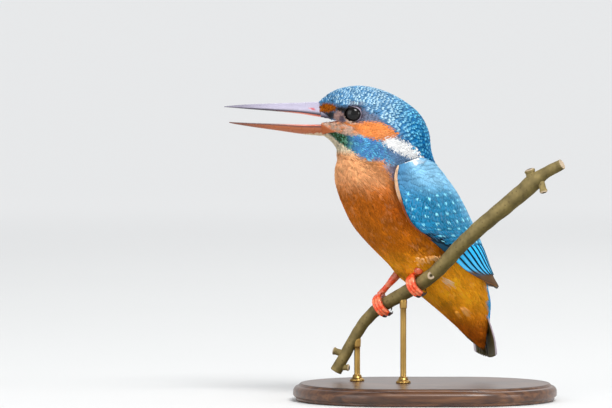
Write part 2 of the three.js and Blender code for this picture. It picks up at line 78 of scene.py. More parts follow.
# Each section: [rearward, height] of the back and of the front, the half width, and the share
# of TURN that it has taken.
STATIONS = array([
    [-31.2, 125, -30.6, 110.9, 4.9, 0],  # bill base
    [-26.7, 128.3, -26.9, 108, 7.7, 0],  # lores
    [-21.2, 130.3, -24.6, 105, 10.1, 0],  # eyes
    [-13.6, 130.9, -24.4, 103.2, 11.5, 0],  # crown
    [-5, 129, -24.4, 101.6, 12.1, 0],  # hind crown
    [3.4, 124.8, -24.6, 99.8, 12.5, 0.1],  # upper nape
    [10.4, 118.9, -25, 97.6, 12.9, 0.3],  # nape
    [14.1, 111.4, -25.4, 95, 13.8, 0.55],  # lower nape
    [15.1, 103.4, -25.6, 91.8, 15.4, 0.8],  # hind neck
    [18.6, 95.2, -24.5, 87.2, 17, 0.95],  # mantle
    [25, 86, -21.6, 80.2, 17.8, 1],  # breast
    [30.8, 75.6, -16.9, 72, 17.8, 1],  # back
    [35.4, 65.4, -8.8, 63.4, 16.9, 1],  # belly
    [38.6, 56.4, 0.8, 54.6, 15, 1],  # rump
    [40.9, 48.4, 11, 44.8, 12.6, 1],  # lower rump
    [42.9, 40.4, 20.2, 37.4, 10.2, 1],  # vent
    [42.6, 32.6, 28.4, 30.6, 7.8, 1],  # under tail
    [41.2, 25.2, 35, 24.4, 4.9, 1],  # tail coverts
    [41.6, 20.8, 40.1, 20.4, 1.6, 1],  # covert tips
])
LAST_STATION = len(STATIONS) - 1

# A folded wing, from shoulder to tip: station, the angles of its upper and lower edge, and the
# height of its inner and outer face above the body.
WING = array([
    [7.9, 62, 88, 0.45, 1.2], [8.4, 42, 94, 0.45, 1.5], [9.1, 28, 100, 0.45, 1.9],
    [9.8, 22, 104, 0.45, 2.2], [10.5, 20, 106, 0.45, 2.3], [11.1, 19, 104, 0.45, 2.3],
    [11.8, 17, 94, 0.5, 2.6], [12.5, 15, 88, 0.6, 3], [13.2, 13, 79, 1, 3.3], [13.8, 12, 58, 2, 4],
    [14.25, 10, 26, 3.4, 5],
])
WING_END = len(WING) - 1
WING_EDGE_THICK = 0.6
WING_EDGE_SHARE = 0.08
WING_BULGE_POWER = 0.5

# The tail: middle line [rearward, height], half width, and droop of its edges.
TAIL = array([
    [37.8, 41, 5.6, 0.6], [40.1, 34.5, 7.6, 1], [41.7, 28.5, 9.6, 1.6], [42.7, 23.3, 11, 2],
    [43.2, 19.2, 9.4, 1.6], [43.3, 16.6, 4.2, 0.4],
])

# Each half of the bill, root to tip: x, top and bottom edge, half width.
BILL_UPPER = array([
    [-36, 123.6, 117, 4.5], [-44.5, 124.3, 118.1, 4.3], [-52, 124, 119.3, 3.5],
    [-62, 123.7, 120.3, 2.6], [-73, 123.3, 121.2, 1.7], [-81, 122.7, 121.9, 0.8],
    [-83.6, 122.4, 122.1, 0.3],
])
BILL_LOWER = array([
    [-36, 114.9, 109.9, 4.3], [-44, 114.9, 110.3, 4], [-52, 114.9, 111, 3.3], [-61, 115.2, 112.3, 2.4],
    [-71, 115.5, 113.7, 1.6], [-79, 115.8, 115, 0.8], [-81.6, 115.9, 115.6, 0.3],
])
BILL_EDGE_SHARE = 0.18
BILL_RIDGE_NARROWS = 0.3
# The corner of the mouth, and the slopes of the opening above and below it.
GAPE_X = -35.5
GAPE_HEIGHT = 116.2
GAPE_ABOVE = 0.19
GAPE_BELOW = 0.085

# The branch: middle line and radius, from its lower cut end to its upper one.
PERCH = array([
    [-37, 14, 11, 2.5], [-33.2, 13.1, 17.8, 2.35], [-30, 12.2, 24, 2.3], [-24.6, 10.2, 32.4, 2.5],
    [-18.6, 6.9, 38.2, 2.7], [-8.3, -1.2, 44.8, 2.9], [1.6, -9.3, 51.6, 2.95], [7.9, -13.8, 57.8, 3],
    [14, -17.8, 64.8, 3.1], [22.1, -22.6, 72.8, 3.2], [31, -27.8, 80.6, 3.35], [38.1, -31.6, 86.8, 3.5],
    [43.8, -34.2, 92, 3.4], [47.8, -36, 95.3, 2.5], [54.9, -39.5, 99.4, 2.2],
])
PERCH_END = len(PERCH) - 1
# Stubs on the branch: place along it, the way they point, length, root and tip radius.
STUBS = {
    "top_scar": (0.855, (-0.35, -0.1, 1), 5.2, 2.7, 2),
    "hanging_twig": (0.9, (0.25, -0.3, -1), 6.6, 1.6, 1.4),
    "foot_scar": (0.43, (0.1, -1, 0.2), 3.9, 1.9, 1.5),
    "lower_bud": (0.075, (-1, 0.1, 0.3), 5.2, 1.5, 1.4),
    "lowest_bud": (0.018, (1, -0.35, -0.05), 4.6, 1.4, 1.2),
}

# The feet: place along the branch, and ankle.
FEET = {
    "right": (0.299, (-12, 7.4, 51.2)),
    "left": (0.393, (-2.8, -8.6, 54.4)),
}
TOE_RING = 4.45
TOE_ROOT = 1.25
TOE_TIP = 0.9
TOE_APART = 1.75
TOE_TOGETHER = 0.45
TOE_SPREAD = 0.4
# Each toe: place across the foot, and the degrees round the branch where it starts and ends.
TOES = {
    "inner": (-1, -12, 150),
    "middle": (0, -12, 168),
    "outer": (1, -12, 158),
    "hind": (-0.2, 4, -82),
}
TOES_CLOSER = 0.83  # the toes lie closer together and slimmer than their solids, by these
TOE_SINKS = 0.1
CLAW_CLEAR = 6
CLAW_SWEEP = 42
CLAW_ROOT = 0.8
CLAW_TIP = 0.15
CLAW_ARCH = 0.5
TARSUS_RADIUS = 1.45
TARSUS_WAIST = 0.25
TARSUS_STANDS = 0.4

RODS = {"stand_rod_low": 0.17, "stand_rod_high": 0.352}
ROD_RADIUS = 1.25
SIDES = {"left": 1, "right": -1}
THIGHS = []  # each ankle, and the place on the body from which its thigh is drawn out
THIGH_PULL = 0.9
THIGH_WIDTH = 4.6

# ---- sizes of the dressed model alone ----

PATCH = 0.003  # how wide a small feather's place is on the bake map, and a long feather's
BLADE_PATCH = 0.03
R2_STEPS = (0.7548776662466927, 0.5698402909980532)  # the plane's golden sequence
LID_LONGER = 4.6  # degrees by which the opening between the lids is longer, and lower, than round
NOSTRIL = (-47, 121.4)
CHIN_FRONT = -51.5  # the wedge of feathers under the lower bill, and the degrees round it
CHIN_BACK = -42.5
CHIN_HALF_TURN = 55
COVERT_COLUMNS = 14
COVERT_BARBS = 15
COVERT_ROW = 2  # from one row of coverts to the next
COVERTS_END = 5.8  # where along the wing the last coverts root
RIM_END = 5.6
WEB_HALF = 0.64  # half the wing's breadth that the flight feathers share, with their overlap
QUILLS = 9
QUILLS_START = 5.6
PRIMARIES = 5
PRIMARIES_START = 7.2
PRIMARY_HALF = 2.6  # half the width of their rounded tips
TAIL_FEATHERS = 12
TAIL_DROOP = 0.4 * TAIL[:, 3].max()
TAIL_HALF = TAIL[:, 2].max()
ALL_ROUND = (-pi, pi)
BRANCH_NODES = (0.075, 0.43, 0.87)
# Loose tufts: station, degrees round from the back, length, how far they turn, and how pale, the paleness
# partly a painted highlight.
TUFTS = [
    (12.35, 99, 3, 0, 0.7), (12.4, 108, 3, 0, 0.6), (12.42, 117, 3, 0, 0.5), (12.48, 126, 3, 0, 0.3),
    (13.40, 112, 6.2, -0.45, 1), (14.85, 114, 6.8, -0.2, 0.3), (15.1, 132, 4.5, 0, 0.15),
]
# The base's edge, as inset and height: a small foot, a hollow, an upright band and a round shoulder.
BASE_EDGE = array([
    [3, 0], [1.4, 0.05], [1, 0.5], [1, 1.1], [0.35, 1.7], [0, 2.3], [0, 3.9], [0.25, 4.8],
    [0.9, 5.6], [1.6, 5.95], [2.1, 6], [2.3, 6.25], [2.7, 6.75], [3.4, 6.97], [4.4, 7], [20, 7],
])
# The rods' turned foot and head, as height and radius.
ROD_FOOT = array([
    [0, 3], [0.35, 3.15], [0.8, 3], [1.3, 2.3], [2.2, 1.8], [2.5, 1.85], [2.8, 1.3], [3.1, ROD_RADIUS],
])
ROD_HEAD = array([[-4.6, ROD_RADIUS], [-4.3, 1.45], [-4.0, 1.5], [-1.4, 1.6], [-1.0, 1.5], [0, 1.5]])


# ---- curves, surfaces and noise ----


def through(table, at):
    """Rows of a table joined by a Catmull-Rom curve: `at` counts rows, and ends run straight on."""
    ends = vstack([2 * table[0] - table[1], table, 2 * table[-1] - table[-2]])
    row = clip(np.floor(at).astype(int), 0, len(table) - 2)
    share = (asarray(at) - row)[..., None]
    a, b, c, d = (ends[row + k] for k in range(4))
    bend = 2 * a - 5 * b + 4 * c - d
    twist = 3 * b - 3 * c + d - a
    return 0.5 * (2 * b + (c - a) * share + bend * share**2 + twist * share**3)


def ramp(value, low, high):
    """0 at or below low, 1 at or above high, and a smooth step in between."""
    share = clip((value - low) / (high - low), 0, 1)
    return share * share * (3 - 2 * share)


def hump(value, low, high, soft):
    """1 between low and high, falling to 0 over `soft` on either side."""
    return ramp(value, low - soft, low) * (1 - ramp(value, high, high + soft))


def circle(around):
    """The angles of points spread once round a circle."""
    return arange(around) / around * 2 * pi


def travelled(path):
    """How far along a path (n, 3) each of its points is."""
    return concatenate([[0], np.cumsum(norm(np.diff(path, axis=0)))])


def norm(vectors):
    """The lengths of vectors."""
    return np.linalg.norm(vectors, axis=-1)


def unit(vectors):
    """Vectors brought to length 1."""
    return vectors / maximum(norm(vectors), 1e-9)[..., None]


def mottle(points, size, seed):
    """Smooth noise of about -1 to 1: nine sine waves near one wavelength in random directions."""
    draw = default_rng(seed)
    ways = unit(draw.normal(size=(9, 3))) * draw.uniform(0.7, 1.5, (9, 1)) * 2 * pi / size
    return sin(points @ ways.T + draw.uniform(0, 2 * pi, 9)).sum(-1) / 3


def shade(colours, amount):
    """Colours made lighter or darker by a share of themselves."""
    return asarray(colours) * (1 + asarray(amount))[..., None]


def over(under, *layers):
    """Colours laid over others, given as a colour and where it shows as a mask of 1, and so on."""
    for colour, mask in zip(layers[::2], layers[1::2]):
        under = under + (asarray(colour) - under) * asarray(mask)[..., None]
    return under


def within(across, up, outline, soft):
    """How far points lie inside a closed outline, as a smooth step `soft` wide at its edge.

    The outline is rounded by a closed Catmull-Rom curve first. The distance to it is the least
    over its short edges, and its sign comes from counting the edges crossed on one side.
    """
    corners = array(outline, float)
    looped = vstack([corners[-1:], corners, corners[:2]])
    curve = through(looped, 1 + arange(4 * len(corners)) / 4)
    points = stack([asarray(across, float), asarray(up, float)], -1)
    nearest = np.full(points.shape[:-1], 1e9)
    inside = zeros(points.shape[:-1], bool)
    for start, end in zip(curve, np.roll(curve, -1, axis=0)):
        edge = end - start
        along = clip(((points - start) @ edge) / (edge @ edge), 0, 1)
        nearest = minimum(nearest, norm(points - start - along[..., None] * edge))
        if start[1] != end[1]:
            crosses = (start[1] > points[..., 1]) != (end[1] > points[..., 1])
            inside ^= crosses & (points[..., 0] < start[0] + (points[..., 1] - start[1]) * edge[0] / edge[1])
    signed = np.where(inside, nearest, -nearest)
    return ramp(signed, -soft / 2, soft / 2)


def place(rear, left, up, turn):
    """The point that lies so far rearward, to the bird's left and up, at a share of TURN."""
    angle = turn * TURN
    x = PIVOT[0] + rear * cos(angle) + left * sin(angle)
    y = PIVOT[1] + rear * sin(angle) - left * cos(angle)
    return stack(np.broadcast_arrays(x, y, up), -1)


def unturned(station, angle, lift=0):
    """A body point as rearward, left, up and turn: a superellipse about each section's middle."""
    back, back_up, front, front_up, half, turn = moveaxis(through(STATIONS, station), -1, 0)
    deep = hypot(back - front, back_up - front_up) / 2
    fuller = 2 / SECTION_POWER
    backward = sign(cos(angle)) * np.abs(cos(angle)) ** fuller * (deep + lift) / deep
    left = sign(sin(angle)) * np.abs(sin(angle)) ** fuller * (half + lift)
    rear = (back + front + backward * (back - front)) / 2
    up = (back_up + front_up + backward * (back_up - front_up)) / 2
    return rear, left, up, turn


def above(rear, up, edge, soft):
    """1 above a line of [rearward, height] points, and 0 below it, as a step `soft` wide either way."""
    return ramp(up - interp(rear, *edge.T), -soft, soft)


def seen(station, angle):
    """How far rearward and up a place on the body would be if the bird weren't turned."""
    rear, _, up, _ = unturned(station, angle)
    return rear, up


def body(station, angle, lift=0):
    """A point of the bird's outline, raised by lift, with the thighs drawn out to the ankles.

    Near each thigh's root the surface is pulled towards the ankle, by a share that falls off
    with the square of the distance, as exp(-(distance / width)**2).
    """
    points = place(*unturned(station, angle, lift))
    for ankle, root in THIGHS:
        pull = THIGH_PULL * np.exp(-(norm(points - root) / THIGH_WIDTH) ** 2)
        points = points + pull[..., None] * (ankle - points)
    return points


def find_thighs():
    """Fills THIGHS with each ankle and the point of the bare body nearest to it."""
    station, angle = meshgrid(linspace(9, 15, 121), linspace(-pi, pi, 361), indexing="ij")
    surface = body(station, angle)
    for _, ankle in FEET.values():
        apart = norm(surface - array(ankle))
        THIGHS.append((array(ankle), surface[np.unravel_index(apart.argmin(), apart.shape)]))


find_thighs()


def wing_point(side, along, share, lift=0):
    """A point of a folded wing's outer face: share runs from its upper edge to its lower one.

    The face stands above the body by sin(pi * share) ** WING_BULGE_POWER of its own height.
    """
    station, upper, lower, inner, outer = moveaxis(through(WING, along), -1, 0)
    edge = inner + WING_EDGE_THICK
    open_share = WING_EDGE_SHARE + (1 - 2 * WING_EDGE_SHARE) * clip(share, -0.09, 1.09)
    height = edge + (outer - edge) * sin(pi * open_share) ** WING_BULGE_POWER
    angle = radians(upper + (lower - upper) * share)
    return place(*unturned(station, side * angle, height + lift))


def wing_lining(side, along, share, lift=0):
    """A point of the wing's inner face, at the height that its table gives."""
    station, upper, lower, inner, _ = moveaxis(through(WING, along), -1, 0)
    return place(*unturned(station, side * radians(upper + (lower - upper) * share), inner + lift))


def perch_frame(along):
    """The branch's middle, axis, and the square directions to its top and front, and its radius."""
    behind, row, ahead = (through(PERCH, clip(along + step, 0, 1) * PERCH_END) for step in (-0.01, 0, 0.01))
    axis = unit((ahead - behind)[..., :3])
    top = unit(array([0.0, 0.0, 1.0]) - axis * axis[..., 2:])
    return row[..., :3], axis, top, cross(axis, top), row[..., 3]


def grip_point(foot_along, across, degrees, reach):
    """A point round the branch near a foot: across is along the branch, in toe widths."""
    middle, axis, top, front, _ = perch_frame(foot_along)
    turned = radians(degrees)
    steps = np.broadcast_arrays(across * TOE_APART, reach * cos(turned), reach * sin(turned))
    return middle + sum(step[..., None] * way for step, way in zip(steps, (axis, top, front)))


# ---- meshes ----


def make_mesh(name, points, faces, tint, plan=None):
    """A mesh object from points (n, 3) in millimetres and a list of face arrays.

    tint is one colour for each point, and plan an optional (n, 2) place on the unwrapped skin
    that becomes the OFBake map.
    """
    mesh = bpy.data.meshes.new(name)
    faces = [asarray(block) for block in faces if len(block)]
    corners = concatenate([block.ravel() for block in faces]).astype(np.int32)
    sizes = concatenate([np.full(len(block), block.shape[1]) for block in faces])
    starts = concatenate([[0], np.cumsum(sizes)[:-1]]).astype(np.int32)
    mesh.vertices.add(len(points))
    mesh.vertices.foreach_set("co", (asarray(points) * MM).astype(np.float32).ravel())
    mesh.loops.add(len(corners))
    mesh.loops.foreach_set("vertex_index", corners)
    mesh.polygons.add(len(starts))
    mesh.polygons.foreach_set("loop_start", starts)
    mesh.polygons.foreach_set("use_smooth", ones(len(starts), bool))
    mesh.update(calc_edges=True)
    colours = ones((len(points), 4), np.float32)
    colours[:, :3] = clip(tint, 0, 1)
    layer = mesh.color_attributes.new("Tint", "FLOAT_COLOR", "POINT")
    layer.data.foreach_set("color", colours.ravel())
    if plan is not None:
        bake = mesh.uv_layers.new(name="OFBake")
        bake.data.foreach_set("uv", plan[corners].astype(np.float32).ravel())
    piece = bpy.data.objects.new(name, mesh)
    bpy.context.scene.collection.objects.link(piece)
    return piece


def ring_faces(rings, around, first=0, caps=(0, 1)):
    """Faces of a tube of `rings` rings with `around` points each, and of the ends named in caps.

    A ring runs so that, with the way to the next ring, its faces point outwards.
    """
    row, column = np.indices((rings - 1, around))
    here = first + row * around + column
    beside = first + row * around + (column + 1) % around
    quads = stack([here, beside, beside + around, here + around], -1).reshape(-1, 4)
    ring = first + arange(around)
    return quads, array([ring[::-1], (rings - 1) * around + ring])[list(caps)]


def tube_points(path, radius, around, bump=None, lead=(0, 0, 1), ends=(0, 0)):
    """Rings of a tube along a path (n, 3), with a radius for each point and bump(turn, share).

    Each ring is middle + (side * sin + top * cos) * radius * bump, top being square to the path
    and as near to `lead` as it can be. ends rounds an end over that many radii, in a quarter of
    an ellipse.
    """
    path = asarray(path, float)
    radius = np.broadcast_to(radius, len(path)).astype(float)
    caps = []
    for end, length in zip((0, -1), ends):
        turn = linspace(0, pi / 2, 6)[1:] if length else zeros(0)
        step = path[end] - path[1 if end == 0 else -2]
        out = path[end] + unit(step) * (sin(turn) * radius[end] * length)[:, None]
        caps.append((out, radius[end] * maximum(cos(turn), 0.02)))
    (head, head_radius), (foot, foot_radius) = caps
    path = vstack([head[::-1], path, foot])
    radius = concatenate([head_radius[::-1], radius, foot_radius])
    gone = travelled(path)
    share = gone / gone[-1]
    axis = unit(np.gradient(path, axis=0))
    top = unit(asarray(lead) - axis * (axis @ asarray(lead))[:, None])
    side = cross(axis, top)
    turn = circle(around)
    reach = radius[:, None] * (1 if bump is None else bump(turn[None, :], share[:, None]))
    points = (path[:, None, :] + top[:, None, :] * (reach * cos(turn))[..., None]
              + side[:, None, :] * (reach * sin(turn))[..., None])
    return points, turn, share


def tubes(name, parts, tint):
    """One mesh of several closed tubes; tint(points, turn, share, number) colours each."""
    points, colours, faces, first = [], [], [], 0
    for number, (grid, turn, share) in enumerate(parts):
        rings, around = grid.shape[:2]
        faces.extend(ring_faces(rings, around, first))
        turns, shares = meshgrid(turn, share)
        colours.append(tint(grid, turns, shares, number).reshape(-1, 3))
        points.append(grid.reshape(-1, 3))
        first += rings * around
    return make_mesh(name, vstack(points), faces, vstack(colours))


# ---- feathers ----


def slopes(surface, along, across):
    """The two directions of a surface at places on it, in millimetres for each unit."""
    step = 1e-3
    ahead = (surface(along + step, across) - surface(along - step, across)) / (2 * step)
    aside = (surface(along, across + step) - surface(along, across - step)) / (2 * step)
    return ahead, aside


def scatter(surface, density, along_range, across_range, shift):
    """Places spread evenly over a surface, at density(along, across) to the square millimetre.

    Their number is the area times the density. Place n is the nth pair of the golden sequence:
    its first number is looked up in the running total of area along the surface, and its second
    in the running total across that row.
    """
    rows, columns = 300, 360
    along_step = (along_range[1] - along_range[0]) / rows
    across_step = (across_range[1] - across_range[0]) / columns
    along, across = meshgrid(along_range[0] + (arange(rows) + 0.5) * along_step,
                             across_range[0] + (arange(columns) + 0.5) * across_step, indexing="ij")
    ahead, aside = slopes(surface, along, across)
    area = norm(cross(ahead, aside)) * along_step * across_step
    weight = area * density(along, across)
    count = int(weight.sum())
    number = arange(1, count + 1)
    first, second = ((number * step + shift) % 1 for step in R2_STEPS)
    total = concatenate([[0], np.cumsum(weight.sum(1))]) / weight.sum()
    at_row = interp(first, total, arange(rows + 1))
    row = clip(at_row.astype(int), 0, rows - 1)
    totals = np.pad(np.cumsum(weight, axis=1), ((0, 0), (1, 0)))
    totals /= maximum(totals[:, -1:], 1e-12)
    column = clip((totals[row] <= second[:, None]).sum(1) - 1, 0, columns - 1)
    low, high = totals[row, column], totals[row, column + 1]
    at_column = column + (second - low) / maximum(high - low, 1e-12)
    return along_range[0] + at_row * along_step, across_range[0] + at_column * across_step


def in_rows(surface, along_range, step, columns):
    """Places in staggered rows round a closed surface, step(along) millimetres after each other.

    Down a column the number of paces gone is the sum of the surface's length over the step, and
    the places are where it is a whole number plus the column's own shift. Where two columns lie
    closer than 0.75 mm, every second one is left out. Also returns how far apart the columns are.
    """
    fine = linspace(*along_range, 500)
    round_it = (arange(columns) / columns * 2 - 1) * pi
    along, across = meshgrid(fine, round_it, indexing="ij")
    ahead, _ = slopes(surface, along, across)
    paces = np.cumsum(norm(ahead) / step(along), axis=0) * (fine[1] - fine[0])
    shift = 0.5 * (arange(columns) % 2) + 0.25 * (arange(columns) // 2 % 2)
    wholes = [arange(int(paces[-1, at] - shift[at])) + shift[at] for at in range(columns)]
    at_along = concatenate([interp(wholes[at], paces[:, at], fine) for at in range(columns)])
    column = np.repeat(arange(columns), [len(whole) for whole in wholes])
    apart = norm(slopes(surface, at_along, round_it[column])[1]) * 2 * pi / columns
    keep = (apart > 0.75) | (column % 2 == 0)
    apart = np.where(apart > 0.75, apart, 2 * apart)
    return (at_along[keep], round_it[column[keep]]), apart[keep]


def body_plan(station, angle):
    """The place of a body point on the unwrapped skin: length along it, and the turn round it."""
    return 0.02 + 0.96 * station / LAST_STATION, 0.02 + 0.96 * ((angle / (2 * pi) + 0.5) % 1)


def wing_plan(along, share):
    """The place of a wing point on the unwrapped wing."""
    return 0.03 + 0.94 * along / len(WING), 0.03 + 0.94 * share


def tail_plan(along, left):
    """The place of a tail point on the unwrapped tail."""
    return 0.03 + 0.94 * along / len(TAIL), 0.5 + 0.45 * left / TAIL_HALF


def handed(surface, along, across):
    """1 where a surface's second direction lies to the left of its first, seen from outside, or -1."""
    outward = surface(along, across, 0.1) - surface(along, across)
    return sign((cross(*slopes(surface, along, across)) * outward).sum(-1))


def partway(surface, roots, turned, reach):
    """The places so many millimetres along feathers that lie at an angle to the surface's way."""
    along, across = roots
    ahead, aside = slopes(surface, along, across)
    return along + reach * cos(turned) / norm(ahead), across + reach * sin(turned) / norm(aside)


def coat(name, roots, dress, finish, slot, *, surface=body, plan=body_plan, turned=0, length=3,
         width=1, barbs=5, splay=0.45, rounding=0.25, rise=(-1, 0.1), thick=0.12, overlap=1.7,
         rows=(0, 0.5, 1), strokes=(0.8, 1, 0.35), curl=1, ragged=0.1, seed=1):
    """Feathers over a surface, each a fan of thin three-sided barbs that taper to their tips.

    Barb b of a feather lies at `place` -1 to 1 across it. At share t of its length it is
    t * length * (1 - rounding * place**2) ahead of the root, place * width / 2 * (splay +
    (1 - splay) * t) to the side, and rise[0] + (rise[1] - rise[0]) * t**curl above the surface.
    Those steps are turned by `turned` and divided by the surface's own slopes, so a barb follows
    every curve under it. dress(feather, place, share) gives the colours, as (..., 3) arrays.
    """
    draw = default_rng(seed)
    count = len(roots[0])
    shape = count, barbs, len(rows), 3
    along, across, length, width, turned, low, high = (
        np.broadcast_to(each, count).reshape(-1, 1, 1, 1) for each in (*roots, length, width, turned, *rise))
    places = linspace(-1, 1, barbs)[:, None, None]
    share, strokes = array([rows, strokes], float)[..., None]
    corner = array([1.0, 0.0, -1.0])
    uneven = draw.uniform(-1, 1, (count, barbs, 1, 1))
    stray = draw.uniform(-1, 1, (count, barbs, 1, 1)) * ragged * width / 2
    ahead = share * (length * (1 - rounding * places**2) * (1 + ragged * uneven))
    aside = (places * width / 2 * (splay + (1 - splay) * share) + stray * share
             + width / barbs * overlap / 2 * strokes * corner)
    raised = low + (high - low) * share**curl + thick * (1 - np.abs(corner)) * strokes
    raised = raised - 0.5 * thick * places**2 + 0.5 * thick * uneven * share
    # The slopes are taken half a feather ahead of its root, which is right to second order.
    middle = partway(surface, (along, across), turned, length / 2)
    way, side = (norm(slope) for slope in slopes(surface, *middle))
    aside = aside * handed(surface, *middle)
    points = surface(along + (ahead * cos(turned) - aside * sin(turned)) / way,
                     across + (ahead * sin(turned) + aside * cos(turned)) / side, raised)
    places, share = np.broadcast_to(places, shape), np.broadcast_to(share, shape)
    tint = dress(arange(count).reshape(-1, 1, 1, 1), places, share)
    bake = stack(plan(along, across), -1) + stack([places, share * 2 - 1], -1) * PATCH / 2
    quads, ends = ring_faces(len(rows), 3)
    starts = (arange(count * barbs) * len(rows) * 3)[:, None, None]
    faces = (starts + quads).reshape(-1, 4), (starts + ends).reshape(-1, 3)
    piece = make_mesh(name, points.reshape(-1, 3), faces, tint.reshape(-1, 3), bake.reshape(-1, 2))
    finished(piece, finish, slot)


def blades(name, surface, plan, paths, dress, finish, *names, across, thick, camber):
    """Long flat feathers, each a closed blade on a surface.

    A path is (along, middle, half, lift_low, lift_high), arrays over its length: where the
    feather's shaft runs, half its width in the surface's own units, and the lift of its two
    edges. Between them the lift is their mix plus camber * (1 - place**2). The under face lies
    `thick` below the upper one, and meets it at the edges. dress(number, place, share, under)
    gives the colours.
    """
    draw = default_rng(1)
    points, tints, bakes, faces, first = [], [], [], [], 0
    places = concatenate([linspace(1, -1, across), linspace(-1, 1, across)[1:-1]])
    under = arange(len(places)) >= across
    mix = (places + 1) / 2
    for number, path in enumerate(paths):
        along, middle, half, low, high = (values[:, None] for values in path)
        shape = len(along), len(places)
        uneven = 1 + 0.03 * draw.uniform(-1, 1, shape) * (np.abs(places) > 0.9)
        position = middle + half * places * uneven
        lift = low * (1 - mix) + high * mix + camber * (1 - places**2)
        lift = lift - thick * under * (1 - places**2) ** 0.5
        order = arange(len(places))
        if handed(surface, along[shape[0] // 2, 0], position[shape[0] // 2, across // 2]) < 0:
            order = np.roll(order[::-1], across)
        at, below, share = (np.broadcast_to(values, shape) for values in (
            places[order], under[order], linspace(0, 1, shape[0])[:, None]))
        patch = stack([at, 2 * share - 1], -1) * BLADE_PATCH / 2
        points.append(surface(along + 0 * places, position, lift)[:, order].reshape(-1, 3))
        tints.append(dress(number, at, share, below).reshape(-1, 3))
        bakes.append((array(plan(along[0, 0], middle[0, 0])) + patch).reshape(-1, 2))
        faces.extend(ring_faces(*shape, first))
        first += len(points[-1])
    finished(make_mesh(name, vstack(points), faces, vstack(tints), vstack(bakes)), finish, *names)


# ---- markings ----

# Outlines on the side of the unturned head, as [rearward, height].
EAR_COVERTS = [
    (-21.6, 116.2), (-17, 116.7), (-11.9, 116.5), (-6.4, 115.8), (-1.6, 112.9), (-0.5, 111.3),
    (-1.8, 110), (-4.1, 109.6), (-7.7, 108.4), (-11.8, 109.6), (-14.6, 110.7), (-17.4, 113.5),
    (-20.5, 115.1),
]
NECK_PATCH = [
    (-6.9, 107.6), (-5.4, 109), (-3.2, 109.6), (-1, 109.1), (3.4, 106.9), (7, 104.4), (10, 101.8),
    (14.2, 98.8), (12.4, 97.8), (8, 99), (3, 100.6), (-2.8, 103.4), (-5.2, 105.4),
]
CHEEK_STRIPE = [
    (-28.6, 111), (-25, 111.6), (-21, 110.9), (-18, 110.3), (-14.6, 110.4), (-8.1, 108), (-6.4, 105.6),
    (-3.4, 103), (1.6, 100.6), (-0.5, 98.2), (-5.5, 98.2), (-9.1, 99.4), (-10.5, 100.8), (-14.7, 100.5),
    (-15.9, 101.7), (-18.3, 103.6), (-21, 105.9), (-23.7, 107.8), (-26.9, 110.6),
]
PALE_LINE = [
    (-33.4, 114), (-33.2, 116.4), (-28, 116.3), (-24.8, 116.4), (-21.4, 116.4), (-19.6, 114.6),
    (-15.5, 112.9), (-12.4, 111.2), (-12.8, 110.2), (-18, 110.4), (-24, 111.6), (-27.2, 112.8),
]
BEHIND_EYE = [(-14.8, 120.2), (-10, 119.8), (-5, 117), (-7.5, 116), (-12, 116.6), (-15.2, 116.2)]
SHOULDER_PATCH = [(-10.2, 97.6), (-5, 98.6), (-3, 92), (-4.5, 86.5), (-6.8, 87.5), (-8, 93)]
# The lower edge of the blue cap, and the upper edge of the orange breast, by rearward place.
CAP_EDGE = array([
    [-32, 124.3], [-28, 124.5], [-24.2, 123.7], [-20.9, 122.4], [-13.9, 121.6], [-9.8, 120],
    [-6.1, 117.3], [-0.3, 111.6], [3.1, 106.6], [9.1, 100.3], [14, 97],
])
BREAST_EDGE = array([[-27, 103], [-22, 102], [-15, 100.4], [-9, 100], [-5.5, 98.2], [4, 96]])
# How far the blue back reaches round the body, in degrees, by station.
BACK_EDGE = array([
    [7.9, 70], [8.4, 54], [9.1, 42], [9.8, 36], [12, 32], [13.2, 36], [14.1, 40], [14.6, 45], [15, 52],
    [15.4, 58], [15.8, 56], [16.2, 40], [18, 30],
])
# The horn of each half of the bill runs on past its base, in a wedge towards the corner of the mouth.
UPPER_HORN = [
    (-32.6, 117.3), (-28.4, 116.8), (-26.8, 116.9), (-27.8, 118.2), (-29.4, 119.5), (-31, 120.4),
    (-32.6, 120.8),
]
LOWER_HORN = [
    (-32.6, 115.6), (-30.2, 115), (-27.4, 113.4), (-24.9, 111.9), (-27.6, 111.3), (-30.8, 110.4),
    (-32.6, 110.2),
]
EYE_PLACE = (-17.4, 119.2)
LORE = (-28.2, 121.9, 3.7, 1.9)
BARE_PATCH = (-23.4, 118.4, 2.1, 2.3)
BARE_SHADE = (-22.1, 117.2, 1.2, 1.5)
BELOW_LORE = (-26.5, 118.7, 1.9, 1.6)
BLACK_LORE = (-22.2, 121.2, 2.7, 1.2)


def oval(rear, up, spot, soft=0.35):
    """1 inside an oval given by its middle and half axes, and 0 outside."""
    middle, height, half_long, half_high = spot
    apart = hypot((rear - middle) / half_long, (up - height) / half_high)
    apart = apart + 0.16 * sin(3.1 * rear + 1.7 * up) * sin(2.3 * up - 1.9 * rear)
    return 1 - ramp(apart, 1 - soft / half_high, 1 + soft / half_high)


def horn_share(station, angle):
    """1 where the horn of the bill covers the side of the face."""
    return maximum(*(within(*seen(station, angle), horn, 0.5) for horn in (UPPER_HORN, LOWER_HORN)))


def side_degrees(angle):
    """How far round from the middle of the back, 0 to 180."""
    return np.abs(np.degrees((angle + pi) % (2 * pi) - pi))


